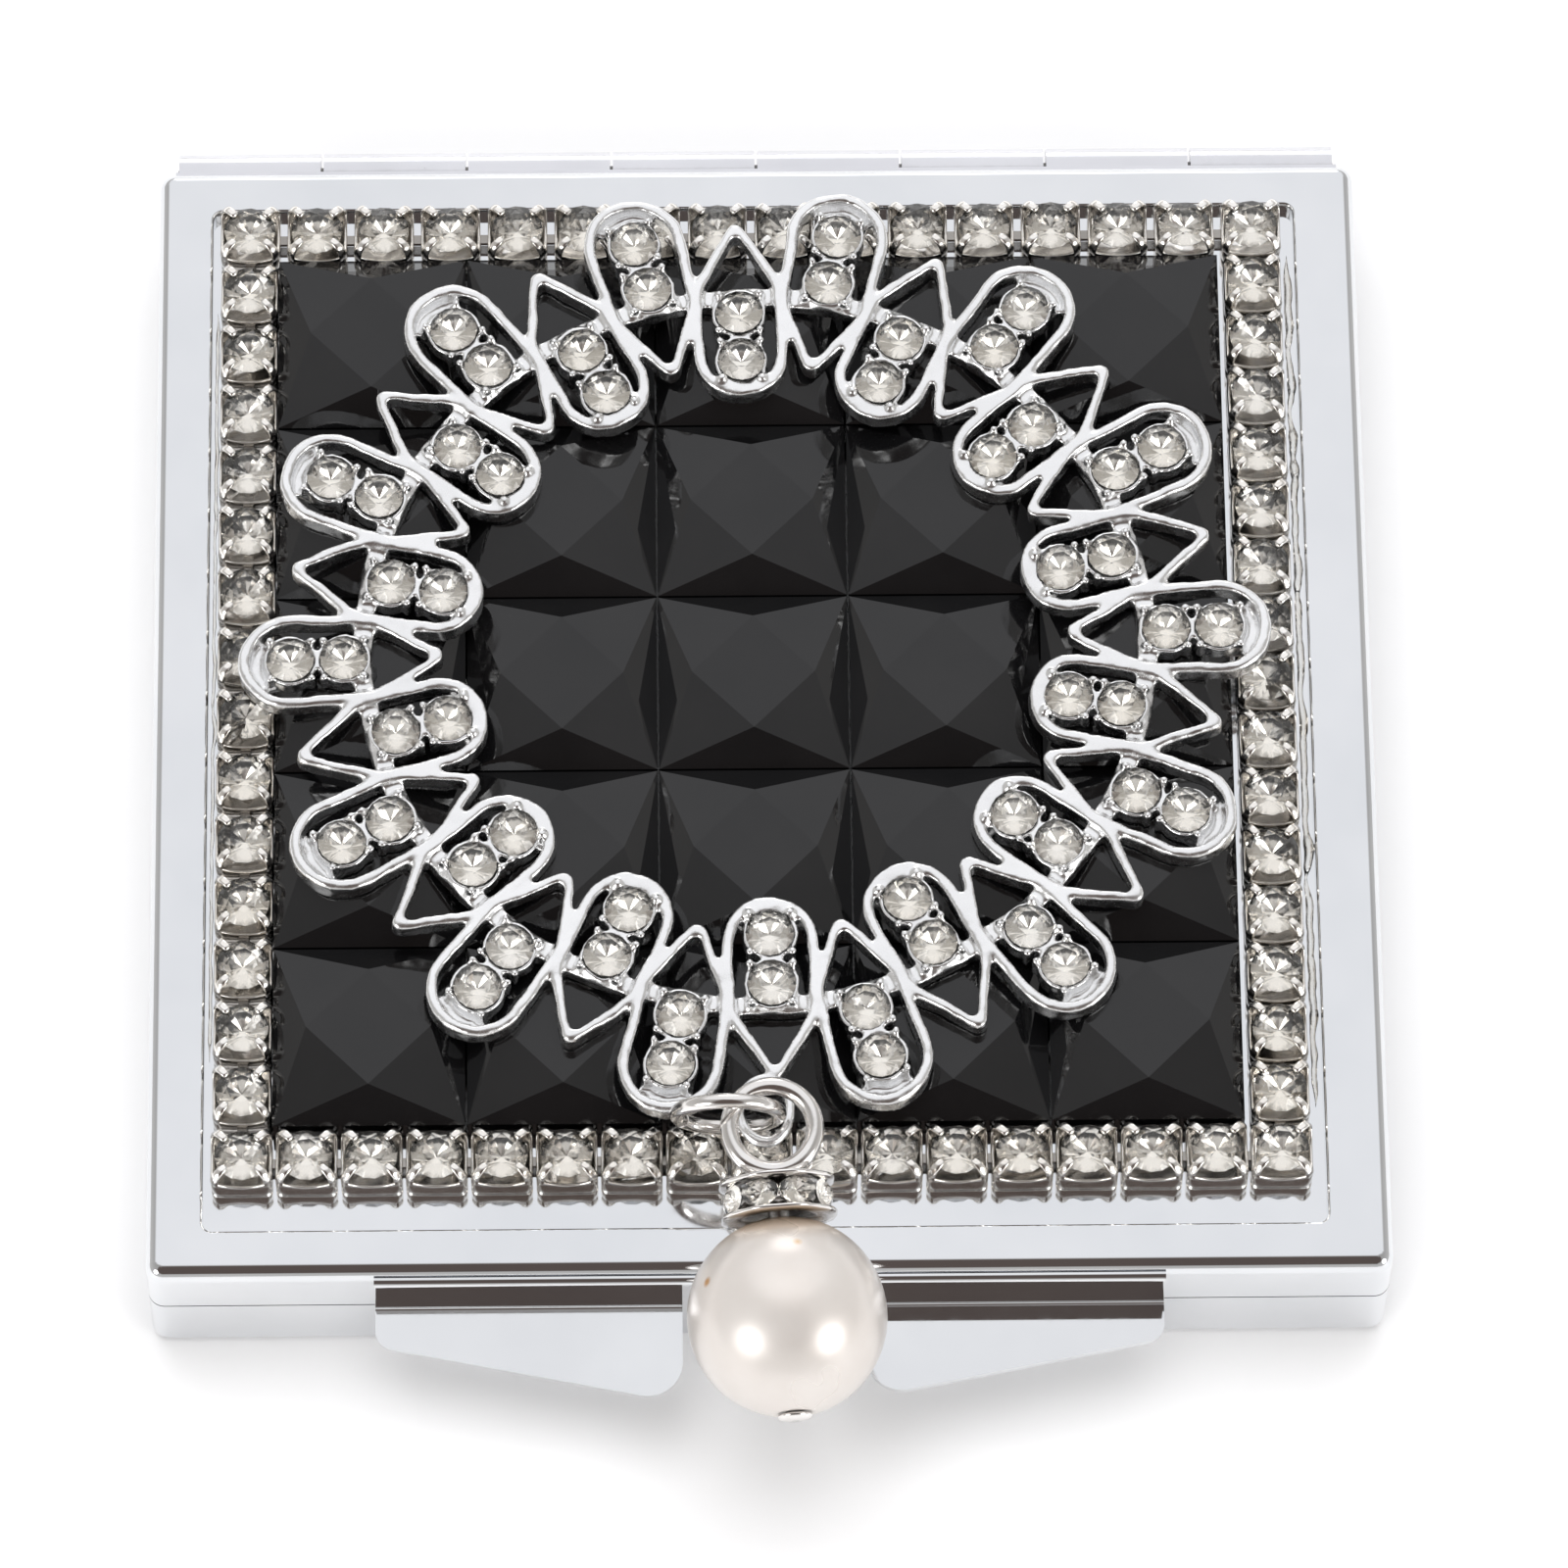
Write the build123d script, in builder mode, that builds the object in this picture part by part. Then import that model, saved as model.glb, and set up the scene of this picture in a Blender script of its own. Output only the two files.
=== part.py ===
from build123d import *
import math
import os

# A square powder compact: a pressed sheet base and lid on a full-width hinge, with a powder pan and
# a puff inside, a mirror in the lid, set stones and a wreath on top, and a pearl charm at the front.
# Millimetres. +Z up, -Y to the front. The origin is the middle of the flat underside.

# ---- Case -------------------------------------------------------------------------------------
CASE = 64.0                 # side of the square case
HALF = CASE / 2
CORNER_R = 0.85             # upright corners
BEND_R = 0.8                # bend between a face and its walls
SHEET = 0.5                 # pressed sheet
SPLIT_Z = 5.0               # parting plane, which is also the height of the hinge axis
SPLIT_GAP = 0.05            # from the parting plane to each rim
RIM_Z = 9.0                 # top face of the lid
BASE_TOP = SPLIT_Z - SPLIT_GAP
LID_BOTTOM = SPLIT_Z + SPLIT_GAP
CAVITY = CASE - 2 * SHEET
CAVITY_R = 0.35

# ---- Recess in the lid ------------------------------------------------------------------------
RECESS_X = 57.8
RECESS_Y = 58.9
RECESS_MID_X = -0.2         # the recess is pressed a little to the left of the middle
RECESS_R = 0.5
RECESS_DEPTH = 0.8
RECESS_LIP_R = 0.2
FLOOR_Z = RIM_Z - RECESS_DEPTH
PRESSED_Z = FLOOR_Z - SHEET  # underside of the recess floor

# ---- Hinge ------------------------------------------------------------------------------------
KNUCKLES = 8
KNUCKLE_PITCH = 7.8
KNUCKLE_GAP = 0.16
BARREL_R = 1.25
PIN_R = 0.5
PIN_CHAMFER = 0.1
BORE_R = 0.55
HINGE_Y = HALF + 1.65
HINGE_L = KNUCKLES * KNUCKLE_PITCH
LEAF_T = 0.35
LEAF_H = 2.95
LEAF_GAP = 0.15             # from the parting plane to the leaf
CURL_T = 0.4                # sheet that runs from the leaf into the barrel

# ---- Inside the base --------------------------------------------------------------------------
TRAY = 62.6
TRAY_R = 0.6
TRAY_Z = 0.55
TRAY_TOP = 4.6
TRAY_WALL = 0.8
TRAY_FLOOR = 0.6
WELL = 54.6
WELL_R = 3.0
SCOOP_R = 6.5               # finger scoop in the front edge of the well
SCOOP_DEPTH = 0.5
PAD_T = 0.15                # sticky pads
PAN_PAD_R = 20.0
PAN = 53.8
PAN_R = 2.6
PAN_H = 2.45
PAN_WALL = 0.25
PAN_FLOOR = 0.3
CAKE = 53.2
CAKE_R = 2.3
CAKE_T = 1.7
LATTICE_PITCH = 8.0
LATTICE_SIDE = 2            # grooves on either side of the middle one
LATTICE_L = 42.5
GROOVE_W = 0.5
GROOVE_DEPTH = 0.25
PUFF = 50.0
PUFF_R = 7.0
PUFF_Z = 3.35
PUFF_T = 2.3
PUFF_EDGE_R = 0.9
RIBBON_W = 14.0
RIBBON_T = 0.12

# ---- Inside the lid ---------------------------------------------------------------------------
MIRROR = 54.0
MIRROR_PAD = 50.0
MIRROR_R = 1.5
MIRROR_T = 1.2
MIRROR_TOP = PRESSED_Z - PAD_T
BEZEL_POCKET = 54.4
BEZEL_WINDOW = 53.0
BEZEL_Z = 5.9
BEZEL_TOP = 7.6
BEZEL_LIP = 0.4

# ---- Latch ------------------------------------------------------------------------------------
LATCH_HALF = 20.3           # half the strip's width
LATCH_T = 0.4
LATCH_TOP = 8.6
STRIP_EDGE_R = 0.35         # along the strip's top edge
WING_Z = 5.05
LEFT_WING_X = -4.5          # inner end of each wing
RIGHT_WING_X = 4.95
LEFT_DROOP = 8.0            # degrees that each wing slopes down to the front
RIGHT_DROOP = 2.0
WING_OUTER_L = 2.35         # depth of a wing at its outer end
WING_INNER_L = 5.45         # depth at its inner end
WING_OUTER_R = 1.0
WING_INNER_R = 1.8
WING_BEND_R = 0.15          # inside the bend between the strip and a wing
TONGUE_HALF = 3.2
TONGUE_BOTTOM = 2.2
TONGUE_STEP = 0.5           # from the base's wall to the tongue
CATCH_R = 0.2
RIDGE_Z = 3.5               # ridge on the base
DIMPLE_Z = 2.9              # dimple on the tongue, below the ridge when closed

# ---- Black stones -----------------------------------------------------------------------------
GLUE_T = 0.1
STONE = 9.93
STONE_PITCH = 10.03
STONE_GRID = 5
STONES_X = -0.5             # the set stones sit a little to the left and to the back
STONES_Y = 1.0
STONE_Z = FLOOR_Z + GLUE_T
GIRDLE_H = 1.5
CROWN_H = 1.4
TABLE_INSET = 1.75          # from a side to the nearest corner of the turned table

# ---- Cup chain --------------------------------------------------------------------------------
CUP = 3.04
CUP_R = 0.45
CUP_FOOT_R = 0.2            # round edge under the cup
CUP_H = 1.75                # at the corners
CUP_DIP = 1.1               # height of the wall halfway between two prongs
DIP_R = 1.9
CUP_BORE_R = 1.3
CUP_FLOOR = 0.3
PRONG_W = 0.5               # the prongs stand at the corners and fold in over the stone
PRONG_T = 0.2
PRONG_L = 0.5               # height of the prong that is one with the cup's corner
PRONG_BEND = 0.4
PRONG_IN = 1.08             # from the cup's middle, along its diagonal
PRONG_ROOT = 1.44
PRONG_OUT = 1.9
PRONG_TOP = 2.35
CHAIN_X = -0.35
CHAIN_Y = 1.0
CHAIN_HALF = 26.75          # from the chain's middle to a row of cups
FRONT_CUPS = 17
BACK_CUPS = 16
LEFT_CUPS = 16              # these two counts include the corner cups
RIGHT_CUPS = 17
LINK_W = 0.5
LINK_T = 0.25
LINK_Z = 0.5                # above the recess floor
CHAIN_GIRDLE_R = 1.38
CHAIN_GIRDLE_Z = FLOOR_Z + 1.85
WREATH_GIRDLE_R = 1.28
CRYSTAL_SIDES = 12
CRYSTAL_TABLE = 0.6         # table as a share of the girdle
CRYSTAL_CULET = 0.1         # lower end as a share of the girdle
CRYSTAL_CROWN = 0.45
CRYSTAL_PAVILION = 0.9

# ---- Wreath -----------------------------------------------------------------------------------
WREATH_X = -0.4
WREATH_Y = 2.05
DOT_T = 0.05                # glue dots between the stones' tables and the wreath
DOT_R = 0.7
TABLE_Z = STONE_Z + GIRDLE_H + CROWN_H
WREATH_Z = TABLE_Z + DOT_T
WREATH_H = 1.2
WREATH_TURN = 1.9           # degrees, anticlockwise from above
DROPS = 14                  # outer drops, with as many inner ones between them
WIRE_W = 0.6
INNER_ROUND_AT = 17.0       # radius of the inner drops' round ends' centres
INNER_ROUND_R = 2.5
INNER_TIP_AT = 24.7
OUTER_ROUND_AT = 24.3
OUTER_ROUND_R = 2.7
OUTER_TIP_AT = 16.3
SHOULDER_AT = 20.5          # radius at which neighbouring drops meet
SHOULDER_HALF = 2.54
SHOULDER_R = 1.9
TIP_R = 0.5
HOLE_TIP_AT = 1.05          # from a drop's tip to the end of its hole
HOLE_TIP_R = 0.3
WIRE_EDGE_R = 0.25
WEB_W = 1.0
WEB_H = 0.9
INNER_PLATE_AT = 16.2       # low plates that close the drops' round ends under the stones
INNER_PLATE_R = 1.4
OUTER_PLATE_AT = 25.3
OUTER_PLATE_R = 1.4
PLATE_H = 0.4
SET_CUP_R = 1.42
SET_BORE_R = 1.18
SET_CUP_H = 1.15
SET_FLOOR = 0.3
BEAD_R = 0.2                # beads beside the stones, four to each
BEAD_H = 1.45
BEAD_AT = 1.53
INNER_STONES_AT = (16.6, 19.4)
OUTER_STONES_AT = (24.3, 21.5)
WREATH_GIRDLE_Z = WREATH_Z + 1.25
BAIL_X = -0.2
BAIL_Y = -24.35
BAIL_Z = RIM_Z + 3.1
BAIL_HALF_X = 1.3
BAIL_HALF_Y = 1.75
BAIL_WIRE_R = 0.3

# ---- Jump ring and charm ----------------------------------------------------------------------
RING_X = -2.1
RING_Y = -25.2
RING_Z = RIM_Z + 4.7
RING_R = 2.6
RING_WIRE_R = 0.4
RING_LEAN = 8.0             # degrees that the ring's top leans to the front
RING_SLIT = 4.0             # degrees of the butt joint
RING_SLIT_AT = 200.0
PEARL_R = 5.12
PEARL_X = 0.81
PEARL_Y = -35.94
PEARL_Z = RIM_Z + 3.6
PEARL_FLAT = 5.0            # from the pearl's centre to the flats at its drill hole
CHARM_SLOPE = 10.0          # degrees that the pin rises to the back
CHARM_TURN = 4.0            # degrees that the pin points to the left
CHARM_BORE_R = 0.52
PIN_WIRE_R = 0.47
EYE_AT = 9.85               # from the pearl's centre to the eye's centre
EYE_R = 2.2
HEAD_R = 0.9
HEAD_T = 0.3
END_PLAY = 0.05
FLANGE_R = 2.75
FLANGE_T = 0.3
LOBES = 8
LOBE_R = 0.75
LOBE_AT = 2.35
LOBE_TURN = 22.5
LOWER_FLANGE = 5.05
UPPER_FLANGE = 6.8
HUB_R = 1.2
RONDELLE_CRYSTAL_R = 0.75
RONDELLE_CRYSTAL_AT = 2.25


def save(part, name):
    """Labels a finished sub-part and writes it to its own file."""
    part.label = name
    export_step(part, f"parts/{name}.step")


def row(count, first, last):
    """Evenly spaced values from first to last."""
    return [first + (last - first) * i / (count - 1) for i in range(count)]


os.makedirs("parts", exist_ok=True)

# ---- Base shell: a tray with a small catch ridge across the middle of its front wall ------------
with BuildPart() as base_shell:
    with BuildSketch():
        RectangleRounded(CASE, CASE, CORNER_R)
    extrude(amount=BASE_TOP)
    fillet(base_shell.faces().sort_by(Axis.Z)[0].edges(), BEND_R)
    with BuildSketch(Plane.XY.offset(SHEET)):
        RectangleRounded(CAVITY, CAVITY, CAVITY_R)
    extrude(amount=BASE_TOP - SHEET, mode=Mode.SUBTRACT)
    with BuildSketch(Plane.YZ.offset(-TONGUE_HALF)):
        with Locations((-HALF, RIDGE_Z)):
            Circle(CATCH_R)
    extrude(amount=2 * TONGUE_HALF)
save(base_shell.part, "base_shell")


# ---- Hinge: two leaves whose knuckles alternate along one pin -----------------------------------
def knuckle_starts(first):
    """Left ends of every second knuckle, from the first one given."""
    return [-HINGE_L / 2 + i * KNUCKLE_PITCH + KNUCKLE_GAP / 2 for i in range(first, KNUCKLES, 2)]


KNUCKLE_L = KNUCKLE_PITCH - KNUCKLE_GAP
LEAF_MID_Y = HALF + LEAF_T / 2
CURL_MID_Y = (HALF + HINGE_Y) / 2
CURL_L = HINGE_Y - HALF
CURL_RISE = BARREL_R - CURL_T / 2

with BuildPart() as base_hinge_leaf:
    with BuildSketch(Plane.YZ.offset(-HINGE_L / 2)):
        with Locations((LEAF_MID_Y, SPLIT_Z - LEAF_GAP - LEAF_H / 2)):
            Rectangle(LEAF_T, LEAF_H)
    extrude(amount=HINGE_L)
    for start in knuckle_starts(1):
        with BuildSketch(Plane.YZ.offset(start)):
            with Locations((HINGE_Y, SPLIT_Z)):
                Circle(BARREL_R)
            with Locations((CURL_MID_Y, SPLIT_Z - CURL_RISE)):
                Rectangle(CURL_L, CURL_T)
        extrude(amount=KNUCKLE_L)
    with BuildSketch(Plane.YZ.offset(-HINGE_L / 2)):
        with Locations((HINGE_Y, SPLIT_Z)):
            Circle(BORE_R)
    extrude(amount=HINGE_L, mode=Mode.SUBTRACT)
save(base_hinge_leaf.part, "base_hinge_leaf")

with BuildPart() as lid_hinge_leaf:
    with BuildSketch(Plane.YZ.offset(-HINGE_L / 2)):
        with Locations((LEAF_MID_Y, SPLIT_Z + LEAF_GAP + LEAF_H / 2)):
            Rectangle(LEAF_T, LEAF_H)
    extrude(amount=HINGE_L)
    for start in knuckle_starts(0):
        with BuildSketch(Plane.YZ.offset(start)):
            with Locations((HINGE_Y, SPLIT_Z)):
                Circle(BARREL_R)
            with Locations((CURL_MID_Y, SPLIT_Z + CURL_RISE)):
                Rectangle(CURL_L, CURL_T)
        extrude(amount=KNUCKLE_L)
    with BuildSketch(Plane.YZ.offset(-HINGE_L / 2)):
        with Locations((HINGE_Y, SPLIT_Z)):
            Circle(BORE_R)
    extrude(amount=HINGE_L, mode=Mode.SUBTRACT)
save(lid_hinge_leaf.part, "lid_hinge_leaf")

with BuildPart() as hinge_pin:
    with BuildSketch(Plane.YZ.offset(-HINGE_L / 2)):
        with Locations((HINGE_Y, SPLIT_Z)):
            Circle(PIN_R)
    extrude(amount=HINGE_L)
    chamfer(hinge_pin.edges().filter_by(GeomType.CIRCLE), PIN_CHAMFER)
save(hinge_pin.part, "hinge_pin")

# ---- Inner tray: rim plate, skirt and a square well with a finger scoop at its front -------------
with BuildPart() as inner_tray:
    with BuildSketch(Plane.XY.offset(TRAY_Z)):
        RectangleRounded(TRAY, TRAY, TRAY_R)
    extrude(amount=TRAY_TOP - TRAY_Z)
    with BuildSketch(Plane.XY.offset(TRAY_Z)):
        RectangleRounded(TRAY - 2 * TRAY_WALL, TRAY - 2 * TRAY_WALL, TRAY_R)
        RectangleRounded(WELL + 2 * TRAY_WALL, WELL + 2 * TRAY_WALL, WELL_R + TRAY_WALL, mode=Mode.SUBTRACT)
    extrude(amount=TRAY_TOP - TRAY_WALL - TRAY_Z, mode=Mode.SUBTRACT)
    with BuildSketch(Plane.XY.offset(TRAY_Z + TRAY_FLOOR)):
        RectangleRounded(WELL, WELL, WELL_R)
    extrude(amount=TRAY_TOP - TRAY_Z - TRAY_FLOOR, mode=Mode.SUBTRACT)
    with BuildSketch(Plane.XY.offset(TRAY_TOP - SCOOP_DEPTH)):
        with Locations((0, -WELL / 2 + SCOOP_R / 2)):
            Circle(SCOOP_R)
    extrude(amount=SCOOP_DEPTH, mode=Mode.SUBTRACT)
save(inner_tray.part, "inner_tray")

PAN_PAD_Z = TRAY_Z + TRAY_FLOOR
PAN_Z = PAN_PAD_Z + PAD_T
CAKE_Z = PAN_Z + PAN_FLOOR

with BuildPart() as pan_adhesive:
    with BuildSketch(Plane.XY.offset(PAN_PAD_Z)):
        Circle(PAN_PAD_R)
    extrude(amount=PAD_T)
save(pan_adhesive.part, "pan_adhesive")

with BuildPart() as powder_pan:
    with BuildSketch(Plane.XY.offset(PAN_Z)):
        RectangleRounded(PAN, PAN, PAN_R)
    extrude(amount=PAN_H)
    with BuildSketch(Plane.XY.offset(CAKE_Z)):
        RectangleRounded(PAN - 2 * PAN_WALL, PAN - 2 * PAN_WALL, PAN_R - PAN_WALL)
    extrude(amount=PAN_H - PAN_FLOOR, mode=Mode.SUBTRACT)
save(powder_pan.part, "powder_pan")

# ---- Powder cake: pressed, with a lattice of shallow grooves -------------------------------------
LATTICE_LINES = [i * LATTICE_PITCH for i in range(-LATTICE_SIDE, LATTICE_SIDE + 1)]
with BuildPart() as powder_cake:
    with BuildSketch(Plane.XY.offset(CAKE_Z)):
        RectangleRounded(CAKE, CAKE, CAKE_R)
    extrude(amount=CAKE_T)
    with BuildSketch(Plane.XY.offset(CAKE_Z + CAKE_T - GROOVE_DEPTH)):
        with Locations(Rotation(0, 0, 45)):
            with Locations([(x, 0) for x in LATTICE_LINES]):
                Rectangle(GROOVE_W, LATTICE_L)
            with Locations([(0, y) for y in LATTICE_LINES]):
                Rectangle(LATTICE_L, GROOVE_W)
    extrude(amount=GROOVE_DEPTH, mode=Mode.SUBTRACT)
save(powder_cake.part, "powder_cake")

with BuildPart() as powder_puff:
    with BuildSketch(Plane.XY.offset(PUFF_Z)):
        RectangleRounded(PUFF, PUFF, PUFF_R)
    extrude(amount=PUFF_T)
    fillet(powder_puff.faces().sort_by(Axis.Z)[0].edges(), PUFF_EDGE_R)
    fillet(powder_puff.faces().sort_by(Axis.Z)[-1].edges(), PUFF_EDGE_R)
save(powder_puff.part, "powder_puff")

with BuildPart() as puff_ribbon:
    with BuildSketch(Plane.XY.offset(PUFF_Z + PUFF_T)):
        Rectangle(PUFF - 2 * PUFF_EDGE_R, RIBBON_W)
    extrude(amount=RIBBON_T)
save(puff_ribbon.part, "puff_ribbon")

# ---- Lid shell: the recess is pressed down into its top ------------------------------------------
with BuildPart() as lid_shell:
    with BuildSketch(Plane.XY.offset(LID_BOTTOM)):
        RectangleRounded(CASE, CASE, CORNER_R)
    extrude(amount=RIM_Z - LID_BOTTOM)
    fillet(lid_shell.faces().sort_by(Axis.Z)[-1].edges(), BEND_R)
    with BuildSketch(Plane.XY.offset(LID_BOTTOM)):
        RectangleRounded(CAVITY, CAVITY, CAVITY_R)
    extrude(amount=RIM_Z - SHEET - LID_BOTTOM, mode=Mode.SUBTRACT)
    with BuildSketch(Plane.XY.offset(PRESSED_Z)):
        with Locations((RECESS_MID_X, 0)):
            RectangleRounded(RECESS_X + 2 * SHEET, RECESS_Y + 2 * SHEET, RECESS_R + SHEET)
    extrude(amount=RIM_Z - SHEET - PRESSED_Z)
    with BuildSketch(Plane.XY.offset(FLOOR_Z)):
        with Locations((RECESS_MID_X, 0)):
            RectangleRounded(RECESS_X, RECESS_Y, RECESS_R)
    extrude(amount=RECESS_DEPTH, mode=Mode.SUBTRACT)
    fillet(lid_shell.faces().sort_by(Axis.Z)[-1].inner_wires()[0].edges(), RECESS_LIP_R)
save(lid_shell.part, "lid_shell")

with BuildPart() as mirror_adhesive:
    with BuildSketch(Plane.XY.offset(MIRROR_TOP)):
        RectangleRounded(MIRROR_PAD, MIRROR_PAD, MIRROR_R)
    extrude(amount=PAD_T)
save(mirror_adhesive.part, "mirror_adhesive")

with BuildPart() as mirror:
    with BuildSketch(Plane.XY.offset(MIRROR_TOP - MIRROR_T)):
        RectangleRounded(MIRROR, MIRROR, MIRROR_R)
    extrude(amount=MIRROR_T)
save(mirror.part, "mirror")

with BuildPart() as mirror_bezel:
    with BuildSketch(Plane.XY.offset(BEZEL_Z)):
        RectangleRounded(TRAY, TRAY, TRAY_R)
        RectangleRounded(BEZEL_WINDOW, BEZEL_WINDOW, MIRROR_R, mode=Mode.SUBTRACT)
    extrude(amount=BEZEL_TOP - BEZEL_Z)
    with BuildSketch(Plane.XY.offset(BEZEL_Z + BEZEL_LIP)):
        RectangleRounded(BEZEL_POCKET, BEZEL_POCKET, MIRROR_R)
    extrude(amount=BEZEL_TOP - BEZEL_Z - BEZEL_LIP, mode=Mode.SUBTRACT)
    window_edge = mirror_bezel.faces().sort_by(Axis.Z)[0].inner_wires()[0].edges()
    chamfer(window_edge, BEZEL_LIP / 2)
save(mirror_bezel.part, "mirror_bezel")

# ---- Latch plate: strip on the lid's front wall, two thumb wings and a tongue between them -------
STRIP_FRONT_Y = -HALF - LATCH_T
TONGUE_BACK_Y = -HALF - TONGUE_STEP
with BuildPart() as latch_plate:
    with BuildSketch(Plane.YZ.offset(-LATCH_HALF)) as strip:
        with Locations((-HALF - LATCH_T / 2, (WING_Z + LATCH_TOP) / 2)):
            Rectangle(LATCH_T, LATCH_TOP - WING_Z)
        fillet(strip.vertices().sort_by_distance((STRIP_FRONT_Y, LATCH_TOP))[0], STRIP_EDGE_R)
    extrude(amount=2 * LATCH_HALF)
    for outer_x, inner_x, droop in (
        (-LATCH_HALF, LEFT_WING_X, math.radians(LEFT_DROOP)),
        (LATCH_HALF, RIGHT_WING_X, math.radians(RIGHT_DROOP)),
    ):
        wing_plane = Plane(
            origin=(0, -HALF, WING_Z),
            x_dir=(1, 0, 0),
            z_dir=(0, -math.sin(droop), math.cos(droop)),
        )
        with BuildSketch(wing_plane) as wing:
            with BuildLine():
                Polyline(
                    (inner_x, 0),
                    (outer_x, 0),
                    (outer_x, -WING_OUTER_L),
                    (inner_x, -WING_INNER_L),
                    close=True,
                )
            make_face()
            fillet(wing.vertices().sort_by_distance((outer_x, -WING_OUTER_L))[0], WING_OUTER_R)
            fillet(wing.vertices().sort_by_distance((inner_x, -WING_INNER_L))[0], WING_INNER_R)
        extrude(amount=LATCH_T)
    creases = latch_plate.edges().filter_by(Axis.X)
    creases = creases.filter_by_position(Axis.Y, STRIP_FRONT_Y - 0.01, STRIP_FRONT_Y + 0.01)
    creases = creases.filter_by_position(Axis.Z, WING_Z + LATCH_T / 2, WING_Z + 2 * LATCH_T)
    fillet(creases, WING_BEND_R)
    with BuildSketch(Plane.YZ.offset(-TONGUE_HALF)):
        with Locations((TONGUE_BACK_Y - LATCH_T / 2, (TONGUE_BOTTOM + WING_Z + 2 * LATCH_T) / 2)):
            Rectangle(LATCH_T, WING_Z + 2 * LATCH_T - TONGUE_BOTTOM)
        with Locations(((TONGUE_BACK_Y - LATCH_T - HALF) / 2, WING_Z + 3 * LATCH_T / 2)):
            Rectangle(-TONGUE_BACK_Y + LATCH_T - HALF, LATCH_T)
        with Locations((TONGUE_BACK_Y, DIMPLE_Z)):
            Circle(CATCH_R)
    extrude(amount=2 * TONGUE_HALF)
save(latch_plate.part, "latch_plate")

# ---- Black stones on their glue film ------------------------------------------------------------
with BuildPart() as stone_adhesive:
    with BuildSketch(Plane.XY.offset(FLOOR_Z)):
        with Locations((STONES_X, STONES_Y)):
            Rectangle(STONE_GRID * STONE_PITCH, STONE_GRID * STONE_PITCH)
    extrude(amount=GLUE_T)
save(stone_adhesive.part, "stone_adhesive")

# One stone: a square block cut by four side facets and four corner facets. The table that they
# leave is a square turned by 45 degrees.
with BuildPart() as stone:
    with BuildSketch():
        Rectangle(STONE, STONE)
    extrude(amount=GIRDLE_H + CROWN_H)
    for turn in range(0, 360, 90):
        side = Vector(STONE / 2, 0, GIRDLE_H).rotate(Axis.Z, turn)
        side_normal = Vector(CROWN_H, 0, TABLE_INSET).rotate(Axis.Z, turn)
        split(bisect_by=Plane(origin=side, z_dir=side_normal), keep=Keep.BOTTOM)
        corner = Vector(STONE / 2, STONE / 2, GIRDLE_H).rotate(Axis.Z, turn)
        corner_run = STONE / 2 + TABLE_INSET
        corner_normal = Vector(CROWN_H, CROWN_H, corner_run).rotate(Axis.Z, turn)
        split(bisect_by=Plane(origin=corner, z_dir=corner_normal), keep=Keep.BOTTOM)

with BuildPart() as black_stones:
    with Locations((STONES_X, STONES_Y, STONE_Z)):
        with GridLocations(STONE_PITCH, STONE_PITCH, STONE_GRID, STONE_GRID):
            add(stone.part)
save(black_stones.part, "black_stones")

# ---- Cup chain: square cups with folded corner prongs, joined by short links --------------------
FRONT_Y = CHAIN_Y - CHAIN_HALF
BACK_Y = CHAIN_Y + CHAIN_HALF
LEFT_X = CHAIN_X - CHAIN_HALF
RIGHT_X = CHAIN_X + CHAIN_HALF
front_xs = row(FRONT_CUPS, LEFT_X, RIGHT_X)
back_xs = row(BACK_CUPS, LEFT_X, RIGHT_X)
left_ys = row(LEFT_CUPS, FRONT_Y, BACK_Y)
right_ys = row(RIGHT_CUPS, FRONT_Y, BACK_Y)
CHAIN_SIDES = {
    "front": [(x, FRONT_Y) for x in front_xs],
    "back": [(x, BACK_Y) for x in back_xs],
    "left": [(LEFT_X, y) for y in left_ys[1:-1]],
    "right": [(RIGHT_X, y) for y in right_ys[1:-1]],
}


def upright(turn):
    """Vertical plane through the Z axis, turned from the XZ plane by an angle in degrees."""
    a = math.radians(turn)
    along = (math.cos(a), math.sin(a), 0)
    return Plane(origin=(0, 0, 0), x_dir=along, z_dir=(math.sin(a), -math.cos(a), 0))


with BuildPart() as cup:
    with BuildSketch():
        RectangleRounded(CUP, CUP, CUP_R)
    extrude(amount=CUP_H)
    fillet(cup.faces().sort_by(Axis.Z)[0].edges(), CUP_FOOT_R)
    for turn in (0, 90):
        with BuildSketch(upright(turn)):
            with Locations((0, CUP_DIP + DIP_R)):
                Circle(DIP_R)
        extrude(amount=CUP, both=True, mode=Mode.SUBTRACT)
    with BuildSketch(Plane.XY.offset(CUP_FLOOR)):
        Circle(CUP_BORE_R)
    extrude(amount=CUP_H - CUP_FLOOR, mode=Mode.SUBTRACT)
    for turn in range(45, 360, 90):
        with BuildSketch(upright(turn)):
            with BuildLine():
                Polyline(
                    (PRONG_ROOT, CUP_H - PRONG_L),
                    (PRONG_OUT, CUP_H - PRONG_L),
                    (PRONG_OUT, PRONG_TOP - PRONG_BEND),
                    (PRONG_OUT - PRONG_BEND, PRONG_TOP),
                    (PRONG_IN, PRONG_TOP),
                    (PRONG_IN, PRONG_TOP - PRONG_T),
                    (PRONG_ROOT, PRONG_TOP - PRONG_T),
                    close=True,
                )
            make_face()
        extrude(amount=PRONG_W / 2, both=True)


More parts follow.
